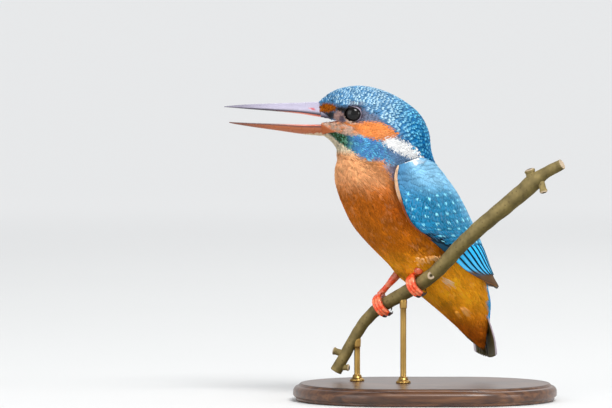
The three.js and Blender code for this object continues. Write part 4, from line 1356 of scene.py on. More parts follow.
class KINGFISHER_OT_head_coat(bpy.types.Operator):
    """Make the barred cap and nape, and the short feathers of face, cheeks and throat"""

    bl_idname = "kingfisher.head_coat"
    bl_label = "Head coat"

    def execute(self, context):
        hue = colours()
        soft = coloured("feather", "head_feathers", 0.6)
        self.cap(hue, soft)
        self.face(hue, soft)
        self.chin(hue, soft)
        self.forehead(hue, soft)
        return {"FINISHED"}

    def cap(self, hue, soft):
        """Blue feathers of cap and nape, in rows, each with a pale bar across its tip."""
        (station, angle), apart = in_rows(body, (0.02, 9), lambda s: 1.1 + 0.8 * ramp(s, 2, 6.5), 56)
        draw = default_rng(3)
        station = station + draw.uniform(-0.035, 0.035, len(apart))
        angle = angle + draw.uniform(-0.02, 0.02, len(apart))
        long = sizes().crown_feather * (0.36 + 0.36 * ramp(station, 0.1, 1.4) + 0.5 * ramp(station, 0.8, 6))
        keep = (cap_share(station, angle) > 0.5) & clear_of_eyes(station, angle, long)
        station, angle, long, apart = (values[keep] for values in (station, angle, long, apart))
        count = len(long)
        lie = sideways(station, angle) * 0.6
        ground = plumage(*partway(body, (station, angle), lie, 0.4 * long), hue)
        rear, up = seen(station, angle)
        spot = over(hue.crown_spot, hue.nape_spot, ramp(rear, -8, 6))
        tone = draw.uniform(-0.3, 0.1, count)
        marked = np.where(draw.uniform(size=count) < 0.72, draw.uniform(0.6, 1, count),
                          draw.uniform(0.05, 0.35, count))
        marked = marked * (1 - 0.5 * ramp(up, 118, 110) * ramp(rear, -2, -8))
        marked = marked * (1 - 0.35 * ramp(up, 114, 104))
        wide = 0.5 - 0.3 * ramp(station, 4.5, 6.5)

        def barred(feather, at, share):
            across = 1 - ramp(np.abs(at), wide[feather], wide[feather] + 0.55)
            bright = hump(share, 0.8, 0.9, 0.16) * across * marked[feather]
            return over(shade(ground[feather], tone[feather] - 0.35 * (1 - share)), spot[feather], bright)

        coat("coat_cap", (station, angle), barred, soft, "crown_feathers", turned=lie, length=long,
             width=1.3 * apart, rise=(-0.5 * sizes().coat_depth, 0.08), rows=(0, 0.5, 0.68, 0.84, 1),
             splay=0.6, strokes=(0.8, 1, 1, 0.95, 0.45), curl=0.8, ragged=0.12, thick=0.1,
             overlap=1.9, rounding=0.18, seed=21)

    def face(self, hue, soft):
        """The short feathers of lores, cheeks, neck patches and throat."""

        def density(station, angle):
            on_face = (head_share(station, angle) > 0.5) * (cap_share(station, angle) < 0.5)
            return on_face * (1.7 + 1.6 * ramp(station, 4, 2))

        roots = scatter(body, density, (0, 9), ALL_ROUND, 0.3)
        patch = within(*seen(*roots), NECK_PATCH, 0.7)
        long = sizes().face_feather * (0.65 + 1.6 * ramp(roots[0], 2, 7) + 0.2 * patch)
        keep = clear_of_eyes(*roots, long) & (gape_share(body(*roots)) <= 0.25) & (horn_share(*roots) < 0.4)
        *roots, long = (values[keep] for values in (*roots, long))
        count = len(long)
        lie = sideways(*roots)
        draw = default_rng(4)
        ground = stack([plumage(*partway(body, roots, lie, far * long), hue) for far in (0.3, 0.55, 0.95)])
        rear, up = seen(*partway(body, roots, lie, 0.6 * long))
        fleck = (draw.uniform(size=count) > 0.7) * within(rear, up, CHEEK_STRIPE, 0.6) * ramp(rear, -4, -9)
        bright = over(hue.nape_spot, hue.cheek_fleck, ramp(rear, -16, -19))
        ground = over(ground, bright, 0.55 * fleck)
        clean = within(rear, up, NECK_PATCH, 0.7)
        orange = within(rear, up, EAR_COVERTS, 0.7)
        tone = draw.uniform(-0.24, 0.16, count) * (1 - 0.85 * clean) * (1 - 0.4 * orange)
        root_dark = 0.25 * (1 - clean) * (1 - 0.5 * orange)

        def short(feather, at, share):
            streak = 0.06 * sin(9 * at) - root_dark[feather] * (1 - share)
            return shade(ground[np.rint(2 * share).astype(int), feather], tone[feather] + streak)

        coat("coat_face", roots, short, soft, "neck_feathers", turned=lie, length=long, width=0.55 * long,
             barbs=3, rise=(-0.35, 0.04), rows=(0, 0.55, 1), strokes=(0.9, 1, 0.4), ragged=0.14,
             overlap=1.6, thick=0.07, seed=22)

    def chin(self, hue, soft):
        """The wedge of cream feathers that runs forward under the lower bill."""

        def underside(along, turn, lift=0):
            x = CHIN_FRONT + (CHIN_BACK - CHIN_FRONT) * along
            row = interp(-x, -BILL_LOWER[:, 0], arange(len(BILL_LOWER)))
            _, top, bottom, half = moveaxis(through(BILL_LOWER, row), -1, 0)
            down = cos(turn)
            across = sin(turn) * half * (1 - BILL_RIDGE_NARROWS * down**2)
            height = top + (bottom - top) * (BILL_EDGE_SHARE + (1 - BILL_EDGE_SHARE) * down)
            return stack([x, PIVOT[1] + across + lift * sin(turn), height - lift * down], -1)

        wedge = radians(CHIN_HALF_TURN)
        roots = scatter(underside, lambda a, t: 2.4 * (np.abs(t) < wedge * (0.3 + 0.7 * a)), (0, 1),
                        (-wedge, wedge), 0.6)
        count = len(roots[0])
        cream = toned(np.tile(hue.throat, (count, 1)), default_rng(5).uniform(-0.15, 0.1, count), 0.2)
        coat("coat_chin", roots, cream, soft, "neck_feathers", surface=underside, length=1.8, width=0.9,
             barbs=3, rise=(-0.15, 0.06), ragged=0.05, strokes=(0.8, 1, 0.3), seed=23)

    def forehead(self, hue, soft):
        """A fringe that reaches forward over the base of the upper bill."""
        roots = scatter(body, lambda s, a: 2.2, (0.05, 0.4), (-1.5, 1.5), 0.9)
        draw = default_rng(6)
        count = len(roots[0])
        fringe = toned(plumage(*roots, hue), draw.uniform(-0.3, 0.25, count), 0.2)
        coat("coat_forehead", roots, fringe, soft, "crown_feathers",
             turned=pi + draw.uniform(-0.3, 0.3, count), length=draw.uniform(0.9, 1.6, count),
             width=0.7, barbs=3, rise=(-0.3, -0.35), strokes=(0.8, 1, 0.3), seed=24)


def towards_vent(station):
    """How far the feathers thin and lie down towards the vent, 0 to 1."""
    return ramp(station, 15.5, 17.5)


class KINGFISHER_OT_body_coat(bpy.types.Operator):
    """Make the loose orange feathers of breast, belly and vent, and the blue ones of the back"""

    bl_idname = "kingfisher.body_coat"
    bl_label = "Body coat"

    def execute(self, context):
        hue = colours()
        soft = coloured("feather", "breast_plumage", 0.7)
        spans = {"breast": (5, 10.6), "belly": (10.6, 14), "vent": (14, 17.9)}
        for number, (part, span) in enumerate(spans.items()):
            self.orange(number, part, span, hue, soft)
        self.blue(hue)
        self.tufts(hue, soft)
        return {"FINISHED"}

    def orange(self, number, part, span, hue, soft):
        """The feathers of one part of the underside."""

        def density(station, angle):
            back = side_degrees(angle) < interp(station, *BACK_EDGE.T) - 1
            hidden = under_wing(station, angle) | (back & (station > 7.9))
            return 0.5 * (head_share(station, angle) < 0.5) * ~hidden

        roots = scatter(body, density, span, ALL_ROUND, 0.2 + 0.17 * number)
        count = len(roots[0])
        draw = default_rng(30 + number)
        long = sizes().breast_barb * draw.uniform(0.85, 1.12, count) * (1 - 0.25 * ramp(roots[0], 16, 17.5))
        lie = sideways(*roots) + draw.uniform(-0.16, 0.16, count)
        station, angle = partway(body, roots, lie, 0.6 * long)
        ground = plumage(minimum(station, 18.3), angle, hue)
        pale = 0.22 * ramp(draw.uniform(size=count), 0.8, 1) * ramp(station, 16, 13)
        ground = over(ground, hue.breast_high, pale)
        loose = 1 - 0.6 * towards_vent(roots[0])
        coat("coat_" + part, roots, toned(ground, draw.uniform(-0.17, 0.14, count), 0.16, 0.1, 13, 7), soft,
             "vent_feathers" if part == "vent" else "breast_feathers", turned=lie, length=long,
             width=2.5 - 0.9 * towards_vent(roots[0]), barbs=6,
             rise=(-0.6 * sizes().coat_depth * loose, 0.1), splay=0.35, rounding=0.3, ragged=0.14,
             thick=0.14, seed=31 + number)

    def blue(self, hue):
        """The feathers of the back, from the mantle to the rump."""

        def density(station, angle):
            back = side_degrees(angle) < interp(station, *BACK_EDGE.T) + 3
            return 0.42 * back * (head_share(station, angle) < 0.6) * (station > 7.9)

        roots = scatter(body, density, (7.8, 17.9), ALL_ROUND, 0.77)
        station, angle = partway(body, roots, 0, 0.6 * 4.2)
        tone = default_rng(40).uniform(-0.18, 0.2, len(station))
        loose = 1 - 0.6 * towards_vent(roots[0])
        coat("coat_back", roots, toned(plumage(minimum(station, 18.3), angle, hue), tone, 0.4, 0.08, 15),
             coloured("feather", "back_plumage", 0.5), "wing_feathers", length=4.2, width=2.2, barbs=6,
             rise=(-0.7 * sizes().coat_depth * loose, 0.1), ragged=0.1, seed=41)

    def tufts(self, hue, soft):
        """Pale loose tufts that stand out of the flank and under the tail, their cream partly a painted
        highlight.
        """
        station, degrees, length, lie, paleness_and_highlight = np.repeat(array(TUFTS), 11, axis=0).T
        count = len(station)
        draw = default_rng(45)
        station = station + draw.uniform(-0.09, 0.09, count)
        angle = radians(degrees + draw.uniform(-4, 4, count) * (1 + (length < 4)))
        length = length * draw.uniform(0.6, 1.05, count)
        lie = lie + draw.uniform(-0.2, 0.2, count)
        roots = np.tile(station, 2), concatenate([angle, -angle])
        cream = np.tile(paleness_and_highlight, 2) * draw.uniform(0.5, 1, 2 * count)
        tone = draw.uniform(-0.15, 0, 2 * count)

        def pale(feather, at, share):
            return shade(over(hue.vent, hue.tuft, cream[feather] * ramp(share, 0, 0.5)), tone[feather])

        coat("coat_tufts", roots, pale, soft, "vent_feathers", length=np.tile(length, 2), width=0.7,
             barbs=3, rise=(-0.3, 0.8), curl=1.5, ragged=0.3, splay=0.5,
             turned=concatenate([lie, -lie]), seed=46)


# ---- wings and tail ----


def wing_rows(way, first, last, step):
    """Places along the wing, `step` millimetres apart on its middle line."""
    fine = linspace(first, last, 400)
    gone = travelled(wing_point(way, fine, 0.5))
    return interp(arange(0, gone[-1], step), gone, fine)


def wing_colour(way, along, share, hue):
    """The ground colour of the wing: palest at the top of the shoulder, partly as a painted sheen, deepest
    at the lower edge.
    """
    points = wing_point(way, along, share)
    white = within(points[..., 0] - PIVOT[0], points[..., 2] + 0.9, NECK_PATCH, 0.7) * ramp(along, 0.6, 0.3)
    # Low down near the branch the dark bases of the longest feathers show, partly as painted shadow under
    # the coverts, and the tip is brown.
    colour = over(hue.wing, hue.wing_low, 0.8 * ramp(share, 0.5, 0.95) + 0.5 * ramp(along, 5, 8),
                  # Paler blue higher on the wing and along its upper edge: partly the scapulars' own colour,
                  # partly a painted sheen from light above.
                  hue.wing_high, ramp(points[..., 2], 84, 94) * ramp(share, 1, 0.55),
                  hue.wing_high, 0.65 * ramp(share, 0.42, 0.1) * ramp(along, 8, 5),
                  hue.slate, 0.4 * ramp(share, 0.6, 0.95) * ramp(along, 3.4, 1.5),
                  hue.quill_dark, 0.92 * ramp(share, 0.83, 0.92) * hump(along, 5.5, 6.8, 0.4),
                  hue.primary, ramp(along, 8, 8.6))
    return over(shade(colour, 0.1 * mottle(points, 6, 50)), hue.white, white)


def rounded_tip(share, start):
    """A blade's width along it: 1 up to start, and then a quarter of an ellipse."""
    return np.sqrt(clip(1 - ((share - start) / (1 - start)).clip(0) ** 2, 0.01, 1))


class KINGFISHER_OT_wings(bpy.types.Operator):
    """Make the folded wings: an inner shell, spotted coverts, and the long flight feathers"""

    bl_idname = "kingfisher.wings"
    bl_label = "Wings"

    def execute(self, context):
        hue = colours()
        cover = coloured("feather", "covert_feathers", 0.5)
        sleek = coloured("quill", "flight_feathers", 0.45)
        under = coloured("skin", "wing_lining", 0.7)
        for side, way in SIDES.items():

            def surface(along, share, lift=0, way=way):
                return wing_point(way, along, share, lift)

            self.shell(side, way, hue, under)
            self.coverts(side, way, surface, hue, cover)
            self.quills(side, surface, hue, sleek)
        return {"FINISHED"}

    def shell(self, side, way, hue, finish):
        """The closed blade that the feathers stand on."""
        along, out = meshgrid(linspace(0, WING_END, 90), linspace(0, 1, 30), indexing="ij")
        behind, back = meshgrid(along[:, 0], linspace(0.98, 0.02, 22), indexing="ij")
        inner, outer = through(WING, along)[..., 3:].T
        sunk = -minimum(0.5, 0.3 * (outer - inner)).T
        grid = concatenate([wing_point(way, along, out, sunk), wing_lining(way, behind, back, 0.05)], 1)
        lining = over(hue.vent * 0.8, hue.wing_low * 0.7, ramp(back, 0.5, 0.3))
        tint = concatenate([shade(wing_colour(way, along, out, hue), -0.1), lining], 1)
        closed_piece("wing_shell_" + side, grid, tint, finish, "wing_feathers", f"wing_{side}_coverts")

    def coverts(self, side, way, surface, hue, finish):
        """Rows of coverts, every other one of every other row with a bright spot at its tip."""
        rows = wing_rows(way, 0.05, COVERTS_END, COVERT_ROW)
        row, column = np.indices((len(rows), COVERT_COLUMNS + 1)).reshape(2, -1)
        count = len(row)
        draw = default_rng(60)
        share = (column + 0.5 * (row % 2)) / (COVERT_COLUMNS + 0.5) * 0.93 + 0.015
        share = share + draw.uniform(-0.008, 0.008, count)
        loose = 0.04 + 0.14 * ramp(rows[row], 3, 1)
        along = maximum(rows[row] + draw.uniform(-1, 1, count) * loose, 0.02)
        _, aside = slopes(surface, along, share)
        long = sizes().covert * (0.62 + 0.38 * ramp(along, 0.5, 4)) * (1 - 0.35 * ramp(share, 0.8, 1))
        wide = norm(aside) / COVERT_COLUMNS * (1.8 - 0.9 * ramp(share, 0.86, 0.94))
        turned = 0.5 * ramp(along, 6, 3) * ramp(share, 0, 0.25) * (1 - ramp(share, 0.86, 0.96))
        ground = wing_colour(way, *partway(surface, (along, share), turned, 0.6 * long), hue)
        height = surface(along, share)[:, 2]
        spotted = (row % 2 == 0) & ((column + row // 2) % 2 == 0)
        strength = spotted * ramp(height, 93, 89) * draw.uniform(0.7, 1, count)
        strength = strength * (1 - ramp(share, 0.95, 0.99))
        tone = draw.uniform(-0.12, 0.12, count)
        grey = draw.uniform(0, 1, (count, COVERT_BARBS))
        calm = 1 - 0.75 * ramp(height, 86, 92)
        slaty = 0.4 * calm[:, None] * ramp(grey, 0.6, 0.95)
        dark = -0.4 * calm[:, None] * ramp(grey, 0.3, 0)

        def covert(feather, at, length_share):
            barb = ((at + 1) / 2 * (COVERT_BARBS - 1)).round().astype(int)
            colour = shade(ground[feather], tone[feather] - 0.12 * (1 - length_share))
            colour = shade(over(colour, hue.slate, slaty[feather, barb]), dark[feather, barb])
            bright = hump(length_share, 0.75, 0.87, 0.1) * (1 - ramp(np.abs(at), 0.16, 0.44))
            return over(colour, hue.wing_spot, bright * strength[feather])

        coat("coat_wing_" + side, (along, share), covert, finish, "wing_feathers", surface=surface,
             plan=wing_plan, length=long, width=wide, barbs=COVERT_BARBS, rise=(-0.24, 0.03),
             rows=(0, 0.35, 0.65, 0.76, 0.87, 1), turned=turned, strokes=(0.9, 1, 1, 1, 0.95, 0.6),
             splay=0.5, rounding=0.16, thick=0.06, overlap=2, ragged=0.12, curl=0.6, seed=61)
        # Narrow feathers along the leading edge: peach at the shoulder, a thin orange line further on.
        along = wing_rows(way, 0, RIM_END, 0.62)
        share = 1.0 + 0.008 * (-1.0) ** arange(len(along))
        faded = ramp(along, 2.2, 2.9)
        edge = toned(over(hue.wing_rim, hue.breast, faded), draw.uniform(-0.1, 0.06, len(along)), 0.15)
        coat("coat_rim_" + side, (along, share), edge, finish, "wing_feathers", surface=surface,
             plan=wing_plan, length=3.4, width=0.8 - 0.38 * faded, rise=(-0.2, 0.22), splay=0.5,
             ragged=0.06, curl=0.7, seed=62)

    def quills(self, side, surface, hue, finish):
        """Long blades that run to the wing tip: blue outer webs over dark inner ones."""
        paths = []
        share = linspace(0, 1, 30)
        for number in range(QUILLS):
            middle = (number + 0.5) / QUILLS
            along = QUILLS_START + (8.75 - 0.45 * middle - QUILLS_START) * share
            sunk = -0.65 * (1 - ramp(along, 5.8, 6.8))
            half = WEB_HALF / QUILLS * rounded_tip(share, 0.86)
            paths.append((along, middle + 0 * share, half, sunk - 0.5, sunk + 0.12))
        share = linspace(0, 1, 18)
        for number in range(PRIMARIES):
            middle = 0.16 + 0.155 * number
            along = PRIMARIES_START + (10.3 - 0.05 * (number - 1.5) ** 2 - PRIMARIES_START) * share
            _, aside = slopes(surface, along, middle)
            half = minimum(0.14 + 0.3 * ramp(share, 0.5, 0.9), PRIMARY_HALF / norm(aside))
            half = half * rounded_tip(share, 0.86)
            sunk = 0.5 * number * ramp(share, 0.3, 0.9)
            paths.append((along, middle + 0.03 * share, half, -0.8 - sunk, -0.4 - sunk))
        tone = default_rng(70).uniform(-0.1, 0.1, len(paths))

        def quill(number, at, share, under):
            if number >= QUILLS:
                return shade(hue.primary, tone[number] - 0.2 * (1 - share) + 0.1 * sin(20 * at))
            lower = number / QUILLS
            web = over(hue.quill, hue.quill_dark, 1 - ramp(at, -0.3, -0.05),
                       hue.quill_dark, ramp(at, 0.82, 0.98) * 0.5,
                       hue.wing_spot, 0.35 * hump(at, 0.25, 0.5, 0.2) * ramp(share, 0.4, 0.8))
            return over(shade(web, tone[number] + 0.06 * sin(31 * at + 17 * share)),
                        hue.primary, ramp(lower, 0.5, 0.9) * ramp(share, 0.82, 0.95),
                        # The lower feathers' dark roots near the branch are partly painted shadow under the
                        # coverts.
                        hue.quill_dark, 0.92 * ramp(lower, 0.6, 0.8) * ramp(share, 0.5, 0.4),
                        hue.primary, under)

        blades("quills_" + side, surface, wing_plan, paths, quill, finish, "flight_feathers",
               f"wing_{side}_flight", across=13, camber=0.16, thick=0.2)


def tail_sheet(along, left, lift=0):
    """A point of the tail so far to the left of its middle line, in millimetres."""
    rear, up, _, _ = moveaxis(through(TAIL, along), -1, 0)
    return place(rear - TAIL_DROOP * (left / TAIL_HALF) ** 2 + lift, left, up, 1)


class KINGFISHER_OT_tail(bpy.types.Operator):
    """Make the twelve tail feathers, the middle pair on top"""

    bl_idname = "kingfisher.tail"
    bl_label = "Tail"

    def execute(self, context):
        hue = colours()
        order = sorted(linspace(-1, 1, TAIL_FEATHERS), key=lambda at: -abs(at))
        paths = []
        share = linspace(0, 1, 24)
        for at in order:
            along = 0.3 + (4.97 - 0.6 * at**2 - 0.3) * share
            reach = maximum.accumulate(through(TAIL, along)[:, 2])
            half = (1.2 + 0.9 * share) * rounded_tip(share, 0.88)
            level = 0.35 - 0.75 * abs(at) + 0 * share
            low, high = (level - 0.28, level + 0.02)[:: 1 if at > 0 else -1]
            paths.append((along, at * (reach - 1.1 - 0.9 * share), half, low, high))

        def rectrix(number, at, share, under):
            outer = abs(order[number])
            outward = at * sign(order[number])
            dark = maximum(0.75 * ramp(outer, 0.8, 1), 0.8 * ramp(share, 0.93, 1))
            web = over(hue.tail_above, hue.quill_dark, 0.7 * (1 - ramp(outward, -0.4, 0)),
                       hue.azure, 0.35 * (1 - outer) * ramp(share, 0.9, 0.3),
                       hue.quill_dark, 0.7 * ramp(np.abs(at), 0.8, 1) + 0.3 * ramp(np.abs(at), 0.14, 0),
                       hue.tail_below, maximum(under, dark),
                       hue.tail_edge, 0.9 * (outer > 0.95) * ramp(outward, -0.1, 0.2))
            return shade(web, 0.07 * sin(27 * at + 9 * share))

        sleek = coloured("quill", "tail_feathers", 0.45)
        blades("tail_feathers", tail_sheet, tail_plan, paths, rectrix, sleek, "tail_feathers", "tail",
               across=11, camber=0.15, thick=0.22)
        return {"FINISHED"}


# ---- feet, branch and stand ----


class KINGFISHER_OT_feet(bpy.types.Operator):
    """Make the shanks and scaled toes of both feet, and their claws"""

    bl_idname = "kingfisher.feet"
    bl_label = "Feet"

    def execute(self, context):
        hue = colours()
        skin = foot_finish()
        horn = coloured("horn", "claw_horn", 0.35)

        def tint(grid, turn, share, number):
            joints = hump(np.abs(sin(pi * 3 * share)), 0.85, 1, 0.12)
            # Pale over the joints, and in mottled patches that are partly painted wet highlights.
            pale = 0.35 * joints + 0.34 * ramp(mottle(grid, 1.8, 80), 0, 0.9)
            colour = over(hue.foot, hue.foot_pale, pale,
                          hue.flank * 0.7, 0.8 * ramp(share, 0.5, 0.95) * (number == 0))
            # Painted shade: each toe darkens along its sides, where it lies against its neighbours.
            return shade(colour, 0.1 * mottle(grid, 0.8, 81) - 0.55 * np.abs(cos(turn)) ** 4 * (number > 0))

        for side, (along, ankle) in FEET.items():
            parts = [self.shank(along, ankle)] + [self.toe(along, *toe) for toe in TOES.values()]
            finished(tubes("foot_skin_" + side, parts, tint), skin, "foot", "foot_" + side)
            for toe, (across, start, end) in TOES.items():
                grid = self.claw(along, across, start, end)
                dark = ramp(linspace(0, 1, len(grid)), 0.3, 1)[:, None] * ones(grid.shape[1])
                colour = over(hue.claw, hue.claw * 0.45, dark)
                closed_piece(f"talon_{side}_{toe}", grid, colour, horn, "claw", f"claw_{side}_{toe}")
        return {"FINISHED"}

    def shank(self, along, ankle):
        """The bare shank, from the sole on top of the branch up to the ankle."""
        low = grip_point(along, 0, TOES["middle"][1] / 2, TOE_RING + TARSUS_STANDS)
        share = linspace(0, 1.1, 26)
        path = low + (array(ankle) - low) * share[:, None]
        radius = TARSUS_RADIUS - TARSUS_WAIST * sin(pi * clip(share, 0, 1)) + 0.35 * ramp(share, 0.3, 0.9)

        def plates(turn, s):
            return 1 + 0.05 * np.abs(sin(pi * 7 * s)) * (cos(turn) > 0)

        return tube_points(path, radius, 20, plates, (-1, 0, 0.2), (0.7, 0.3))

    def toe(self, along, across, start, end):
        """A toe round the branch, with narrow plates on top and soft pads below."""
        share = linspace(0, 1, 44)
        apart = TOE_TOGETHER + (1 - TOE_TOGETHER) * minimum(1, share / TOE_SPREAD)
        degrees = start + (end - start) * share
        path = grip_point(along, TOES_CLOSER * across * apart, degrees, TOE_RING - TOE_SINKS)
        radius = (TOE_ROOT + (TOE_TIP - TOE_ROOT) * share) - TOE_SINKS

        def plates(turn, s):
            out = sin(turn) * sign(end - start)
            top = 0.08 * clip(out, 0, 1) * np.abs(sin(pi * 11 * s)) ** 0.6
            return 0.96 + top + 0.1 * clip(-out, 0, 1) * np.abs(sin(pi * 3 * s))

        return tube_points(path, radius, 22, plates, perch_frame(along)[1], (0.9, 0.7))

    def claw(self, along, across, start, end):
        """The claw of a toe: it sweeps on round the branch, and stands up in its middle."""
        share = linspace(0, 1, 16)
        degrees = end + sign(end - start) * (CLAW_CLEAR * 0.2 + (CLAW_SWEEP + CLAW_CLEAR * 0.8) * share)
        reach = TOE_RING - TOE_SINKS + CLAW_ARCH * sin(pi * share)
        path = grip_point(along, TOES_CLOSER * across, degrees, reach)
        radius = CLAW_ROOT + (CLAW_TIP - CLAW_ROOT) * share**0.9
        return tube_points(path, radius, 14, lambda turn, s: 1 - 0.18 * np.abs(cos(turn)),
                           perch_frame(along)[1], (0.6, 0.8))[0]


class KINGFISHER_OT_branch(bpy.types.Operator):
    """Make the cut length of branch, with its nodes, scars and buds"""

    bl_idname = "kingfisher.branch"
    bl_label = "Branch"

    def execute(self, context):
        hue = colours()
        middle, _, _, _, radius = perch_frame(linspace(0, 1, 420))
        length = travelled(middle)[-1]

        def bark(turn, s):
            at = stack(np.broadcast_arrays(3 * cos(turn), 3 * sin(turn), s * length), -1)
            node = sum(np.exp(-(((s - at_node) * length / 2.2) ** 2)) for at_node in BRANCH_NODES)
            fine = 0.018 * mottle(at * (1.6, 1.6, 0.35), 1.7, 90)
            return 0.985 + fine + 0.022 * mottle(at, 9, 91) + 0.06 * node

        parts = [tube_points(middle, radius, 64, bark, ends=(0.12, 0.12))]
        for along, way, reach, root, tip in STUBS.values():
            steps = linspace(0, 1, 26)
            path = perch_frame(along)[0] + unit(array(way)) * reach * steps[:, None]
            width = root + (tip - root) * ramp(steps, 0, 0.8)
            width = width + 0.25 * np.exp(-(((steps - 0.93) / 0.07) ** 2))
            parts.append(tube_points(path, width, 36, lambda turn, s: 1 + 0.04 * sin(3 * turn + 4 * s),
                                     (0.3, 0.9, 0.1), (0, 0.3)))

        def tint(grid, turn, s, number):
            # Painted shade: the bark darkens towards the branch's underside.
            colour = over(hue.bark, hue.bark_dark, ramp(-cos(turn), -0.2, 0.9) * (number == 0))
            colour = shade(colour, 0.16 * mottle(grid, 7, 92) + 0.08 * mottle(grid, 2, 93))
            cut = ramp(s, 0.90, 0.94) if number else ramp(np.abs(s - 0.5), 0.4975, 0.4995)
            pith = ramp(s, 0.975, 0.99) if number else 0 * s
            wood = shade(hue.scar, -0.2 * (0.5 + 0.5 * cos(26 * s)))
            return over(colour, wood, cut, hue.bark_dark * 0.35, pith)

        finished(tubes("branch", parts, tint), bark_finish(), "bark", "perch")
        return {"FINISHED"}


class KINGFISHER_OT_stand(bpy.types.Operator):
    """Make the polished wooden base and the two rods that carry the branch"""

    bl_idname = "kingfisher.stand"
    bl_label = "Stand"

    def execute(self, context):
        low, high = cad_box("stand_base")
        half_long, half_wide, thick = (high[0] - low[0]) / 2, (high[1] - low[1]) / 2, high[2]
        turn = circle(220)
        inset, height = through(BASE_EDGE, linspace(0, len(BASE_EDGE) - 1, 61)).T[..., None]
        reach = half_wide - inset
        x = cos(turn) * reach + clip(cos(turn) * 60, -1, 1) * (half_long - half_wide)
        grid = stack(np.broadcast_arrays(x, sin(turn) * reach, height / BASE_EDGE[-1, 1] * thick), -1)
        closed_piece("plinth", grid, np.full(grid.shape, 0.2), wood_finish(), "base", "stand_base")
        brass = brass_finish()
        for name, along in RODS.items():
            middle, _, _, _, radius = perch_frame(along)
            levels = concatenate([ROD_FOOT + (thick, 0), ROD_HEAD + (middle[2] - 0.6 * radius, 0)])
            z = interp(arange(6 * len(levels) - 5) / 6, arange(len(levels)), levels[:, 0])
            path = stack(np.broadcast_arrays(middle[0], middle[1], z), -1)
            grid, _, _ = tube_points(path, interp(z, *levels.T), 40, lead=(1, 0, 0))
            tint = np.full(grid.shape, 0.5)
            closed_piece(name.replace("stand_", "brass_"), grid, tint, brass, "rod", name)
        return {"FINISHED"}


# ---- stage ----

BOWL_FLAT = 2900  # the floor is flat this far out, and then curves up with this radius
BOWL_CURVE = 3000
FRAME_WIDTH = 612
CAMERA_AIM = array([-49.6, 0.0, 81.7])
CAMERA_AWAY = 2000
CAMERA_RISE = 2  # degrees above the level
CAMERA_SCALE = 2.4  # frame widths in FRAME_WIDTH steps for each millimetre at the aim
SENSOR = 36
# The lamps: place, width and power.
LAMPS = {
    "key": ((600, -1450, 1800), 850, 40),
    "side": ((1900, -1000, 560), 650, 9),
    "fill": ((-1500, -1600, 800), 1400, 14),
    "back": ((300, 1300, 1300), 1000, 7),
}
LAMP_AIM = array([-10.0, 0.0, 75.0])


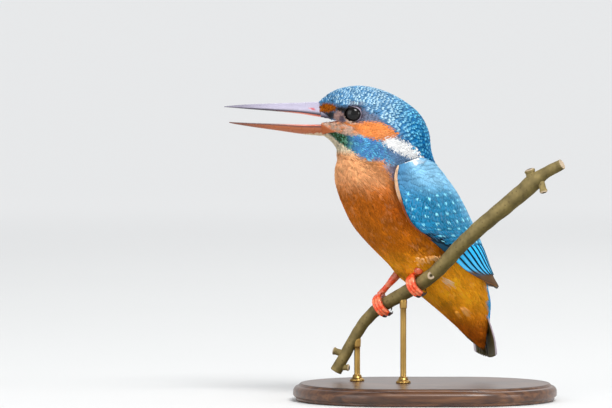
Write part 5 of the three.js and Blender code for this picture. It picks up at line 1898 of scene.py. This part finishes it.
class KINGFISHER_OT_stage(bpy.types.Operator):
    """Make the pale floor and its curved backdrop, the soft lights and the camera"""

    bl_idname = "kingfisher.stage"
    bl_label = "Stage"

    def execute(self, context):
        scene = context.scene
        scene.view_settings.view_transform = "Standard"
        self.floor()
        scene.world = bpy.data.worlds.new("studio")
        scene.world.use_nodes = True
        light = scene.world.node_tree.nodes["Background"].inputs
        light["Color"].default_value = SKY_WHITE
        light["Strength"].default_value = 0.55
        for name, (start, width, power) in LAMPS.items():
            data = bpy.data.lights.new(name, "AREA")
            data.size = width * MM
            data.energy = power
            aimed(name, data, array(start, float), LAMP_AIM)
        # A long lens level with the bird, at its left side.
        data = bpy.data.cameras.new("camera")
        data.sensor_width = SENSOR
        data.lens = SENSOR * CAMERA_AWAY * CAMERA_SCALE / FRAME_WIDTH
        data.clip_start, data.clip_end = 0.05, 20
        rise = radians(CAMERA_RISE)
        start = CAMERA_AIM + CAMERA_AWAY * array([0, -cos(rise), sin(rise)])
        scene.camera = aimed("camera", data, start, CAMERA_AIM)
        return {"FINISHED"}

    def floor(self):
        """A bowl with a flat middle, which shows a plain near white far from the model."""
        rise = linspace(0, pi / 2, 24)
        radius = concatenate([[1, 400, 1200, 2200], BOWL_FLAT + BOWL_CURVE * sin(rise)])[:, None]
        height = concatenate([zeros(4), BOWL_CURVE - BOWL_CURVE * cos(rise)])[:, None] - 0.2
        turn = circle(96)
        grid = stack(np.broadcast_arrays(radius * cos(turn), radius * sin(turn), height), -1)
        faces = [block[:, ::-1] for block in ring_faces(*grid.shape[:2], caps=[0])]
        floor = make_mesh("floor", grid.reshape(-1, 3), faces, ones((grid.size // 3, 3)))
        finish = Finish("floor_pale", Roughness=0.9, Specular_IOR_Level=0.1)
        plain = finish.node("ShaderNodeRGB")
        plain.socket.default_value = FLOOR_GREY
        finish.feed("Base Color", finish.varied(plain, 0.01, 300))
        away = finish.node("ShaderNodeVectorMath", {"operation": "LENGTH"}, {0: finish.place()}, "Value")
        seen_by = [finish.node("ShaderNodeLightPath", output=ray)
                   for ray in ("Is Camera Ray", "Is Glossy Ray", "Is Transmission Ray")]
        far = finish.node("ShaderNodeMapRange", {"interpolation_type": "SMOOTHSTEP"},
                          {"Value": away, "From Min": 0.5, "From Max": 2.4, "To Max": 0.85})
        white = finish.node("ShaderNodeEmission", {}, {"Color": BACKDROP_WHITE, "Strength": 1})
        plain = Number(finish, finish.shader.outputs[0])
        factor = far * (seen_by[0] + seen_by[1] + seen_by[2])
        mixed = finish.node("ShaderNodeMixShader", {}, {0: factor, 1: plain, 2: white})
        finish.tree.links.new(mixed.socket, finish.tree.nodes["Material Output"].inputs["Surface"])
        floor.data.materials.append(finish.material)


def aimed(name, data, start, target):
    """A lamp or camera at a place, looking at a target, with its top upwards."""
    back = unit(start - target)
    right = unit(cross([0, 0, 1.0], back))
    thing = bpy.data.objects.new(name, data)
    bpy.context.scene.collection.objects.link(thing)
    turned = vstack([stack([right, cross(back, right), back, start * MM], -1), [0, 0, 0, 1]])
    thing.matrix_world = Matrix(turned.tolist())
    return thing


# ---- panel and registration ----

STEPS = (
    KINGFISHER_OT_skin, KINGFISHER_OT_eyes, KINGFISHER_OT_bill, KINGFISHER_OT_head_coat,
    KINGFISHER_OT_body_coat, KINGFISHER_OT_wings, KINGFISHER_OT_tail, KINGFISHER_OT_feet,
    KINGFISHER_OT_branch, KINGFISHER_OT_stand, KINGFISHER_OT_stage,
)


class KINGFISHER_PT_panel(bpy.types.Panel):
    """The model's sizes, colours and steps"""

    bl_idname = "KINGFISHER_PT_panel"
    bl_label = "Kingfisher"
    bl_space_type = "VIEW_3D"
    bl_region_type = "UI"
    bl_category = "Kingfisher"

    def draw(self, context):
        for group in (context.scene.kingfisher_sizes, context.scene.kingfisher_colours):
            box = self.layout.box()
            for name in type(group).__annotations__:
                box.prop(group, name)
        for step in STEPS:
            self.layout.operator(step.bl_idname)


CLASSES = (KingfisherSizes, KingfisherColours, *STEPS, KINGFISHER_PT_panel)


def register():
    for entry in CLASSES:
        bpy.utils.register_class(entry)
    bpy.types.Scene.kingfisher_sizes = bpy.props.PointerProperty(type=KingfisherSizes)
    bpy.types.Scene.kingfisher_colours = bpy.props.PointerProperty(type=KingfisherColours)


def unregister():
    del bpy.types.Scene.kingfisher_colours
    del bpy.types.Scene.kingfisher_sizes
    for entry in reversed(CLASSES):
        bpy.utils.unregister_class(entry)


def main():
    """Makes every piece in order."""
    register()
    for step in STEPS:
        group, name = step.bl_idname.split(".")
        getattr(getattr(bpy.ops, group), name)()


if __name__ == "__main__":
    main()
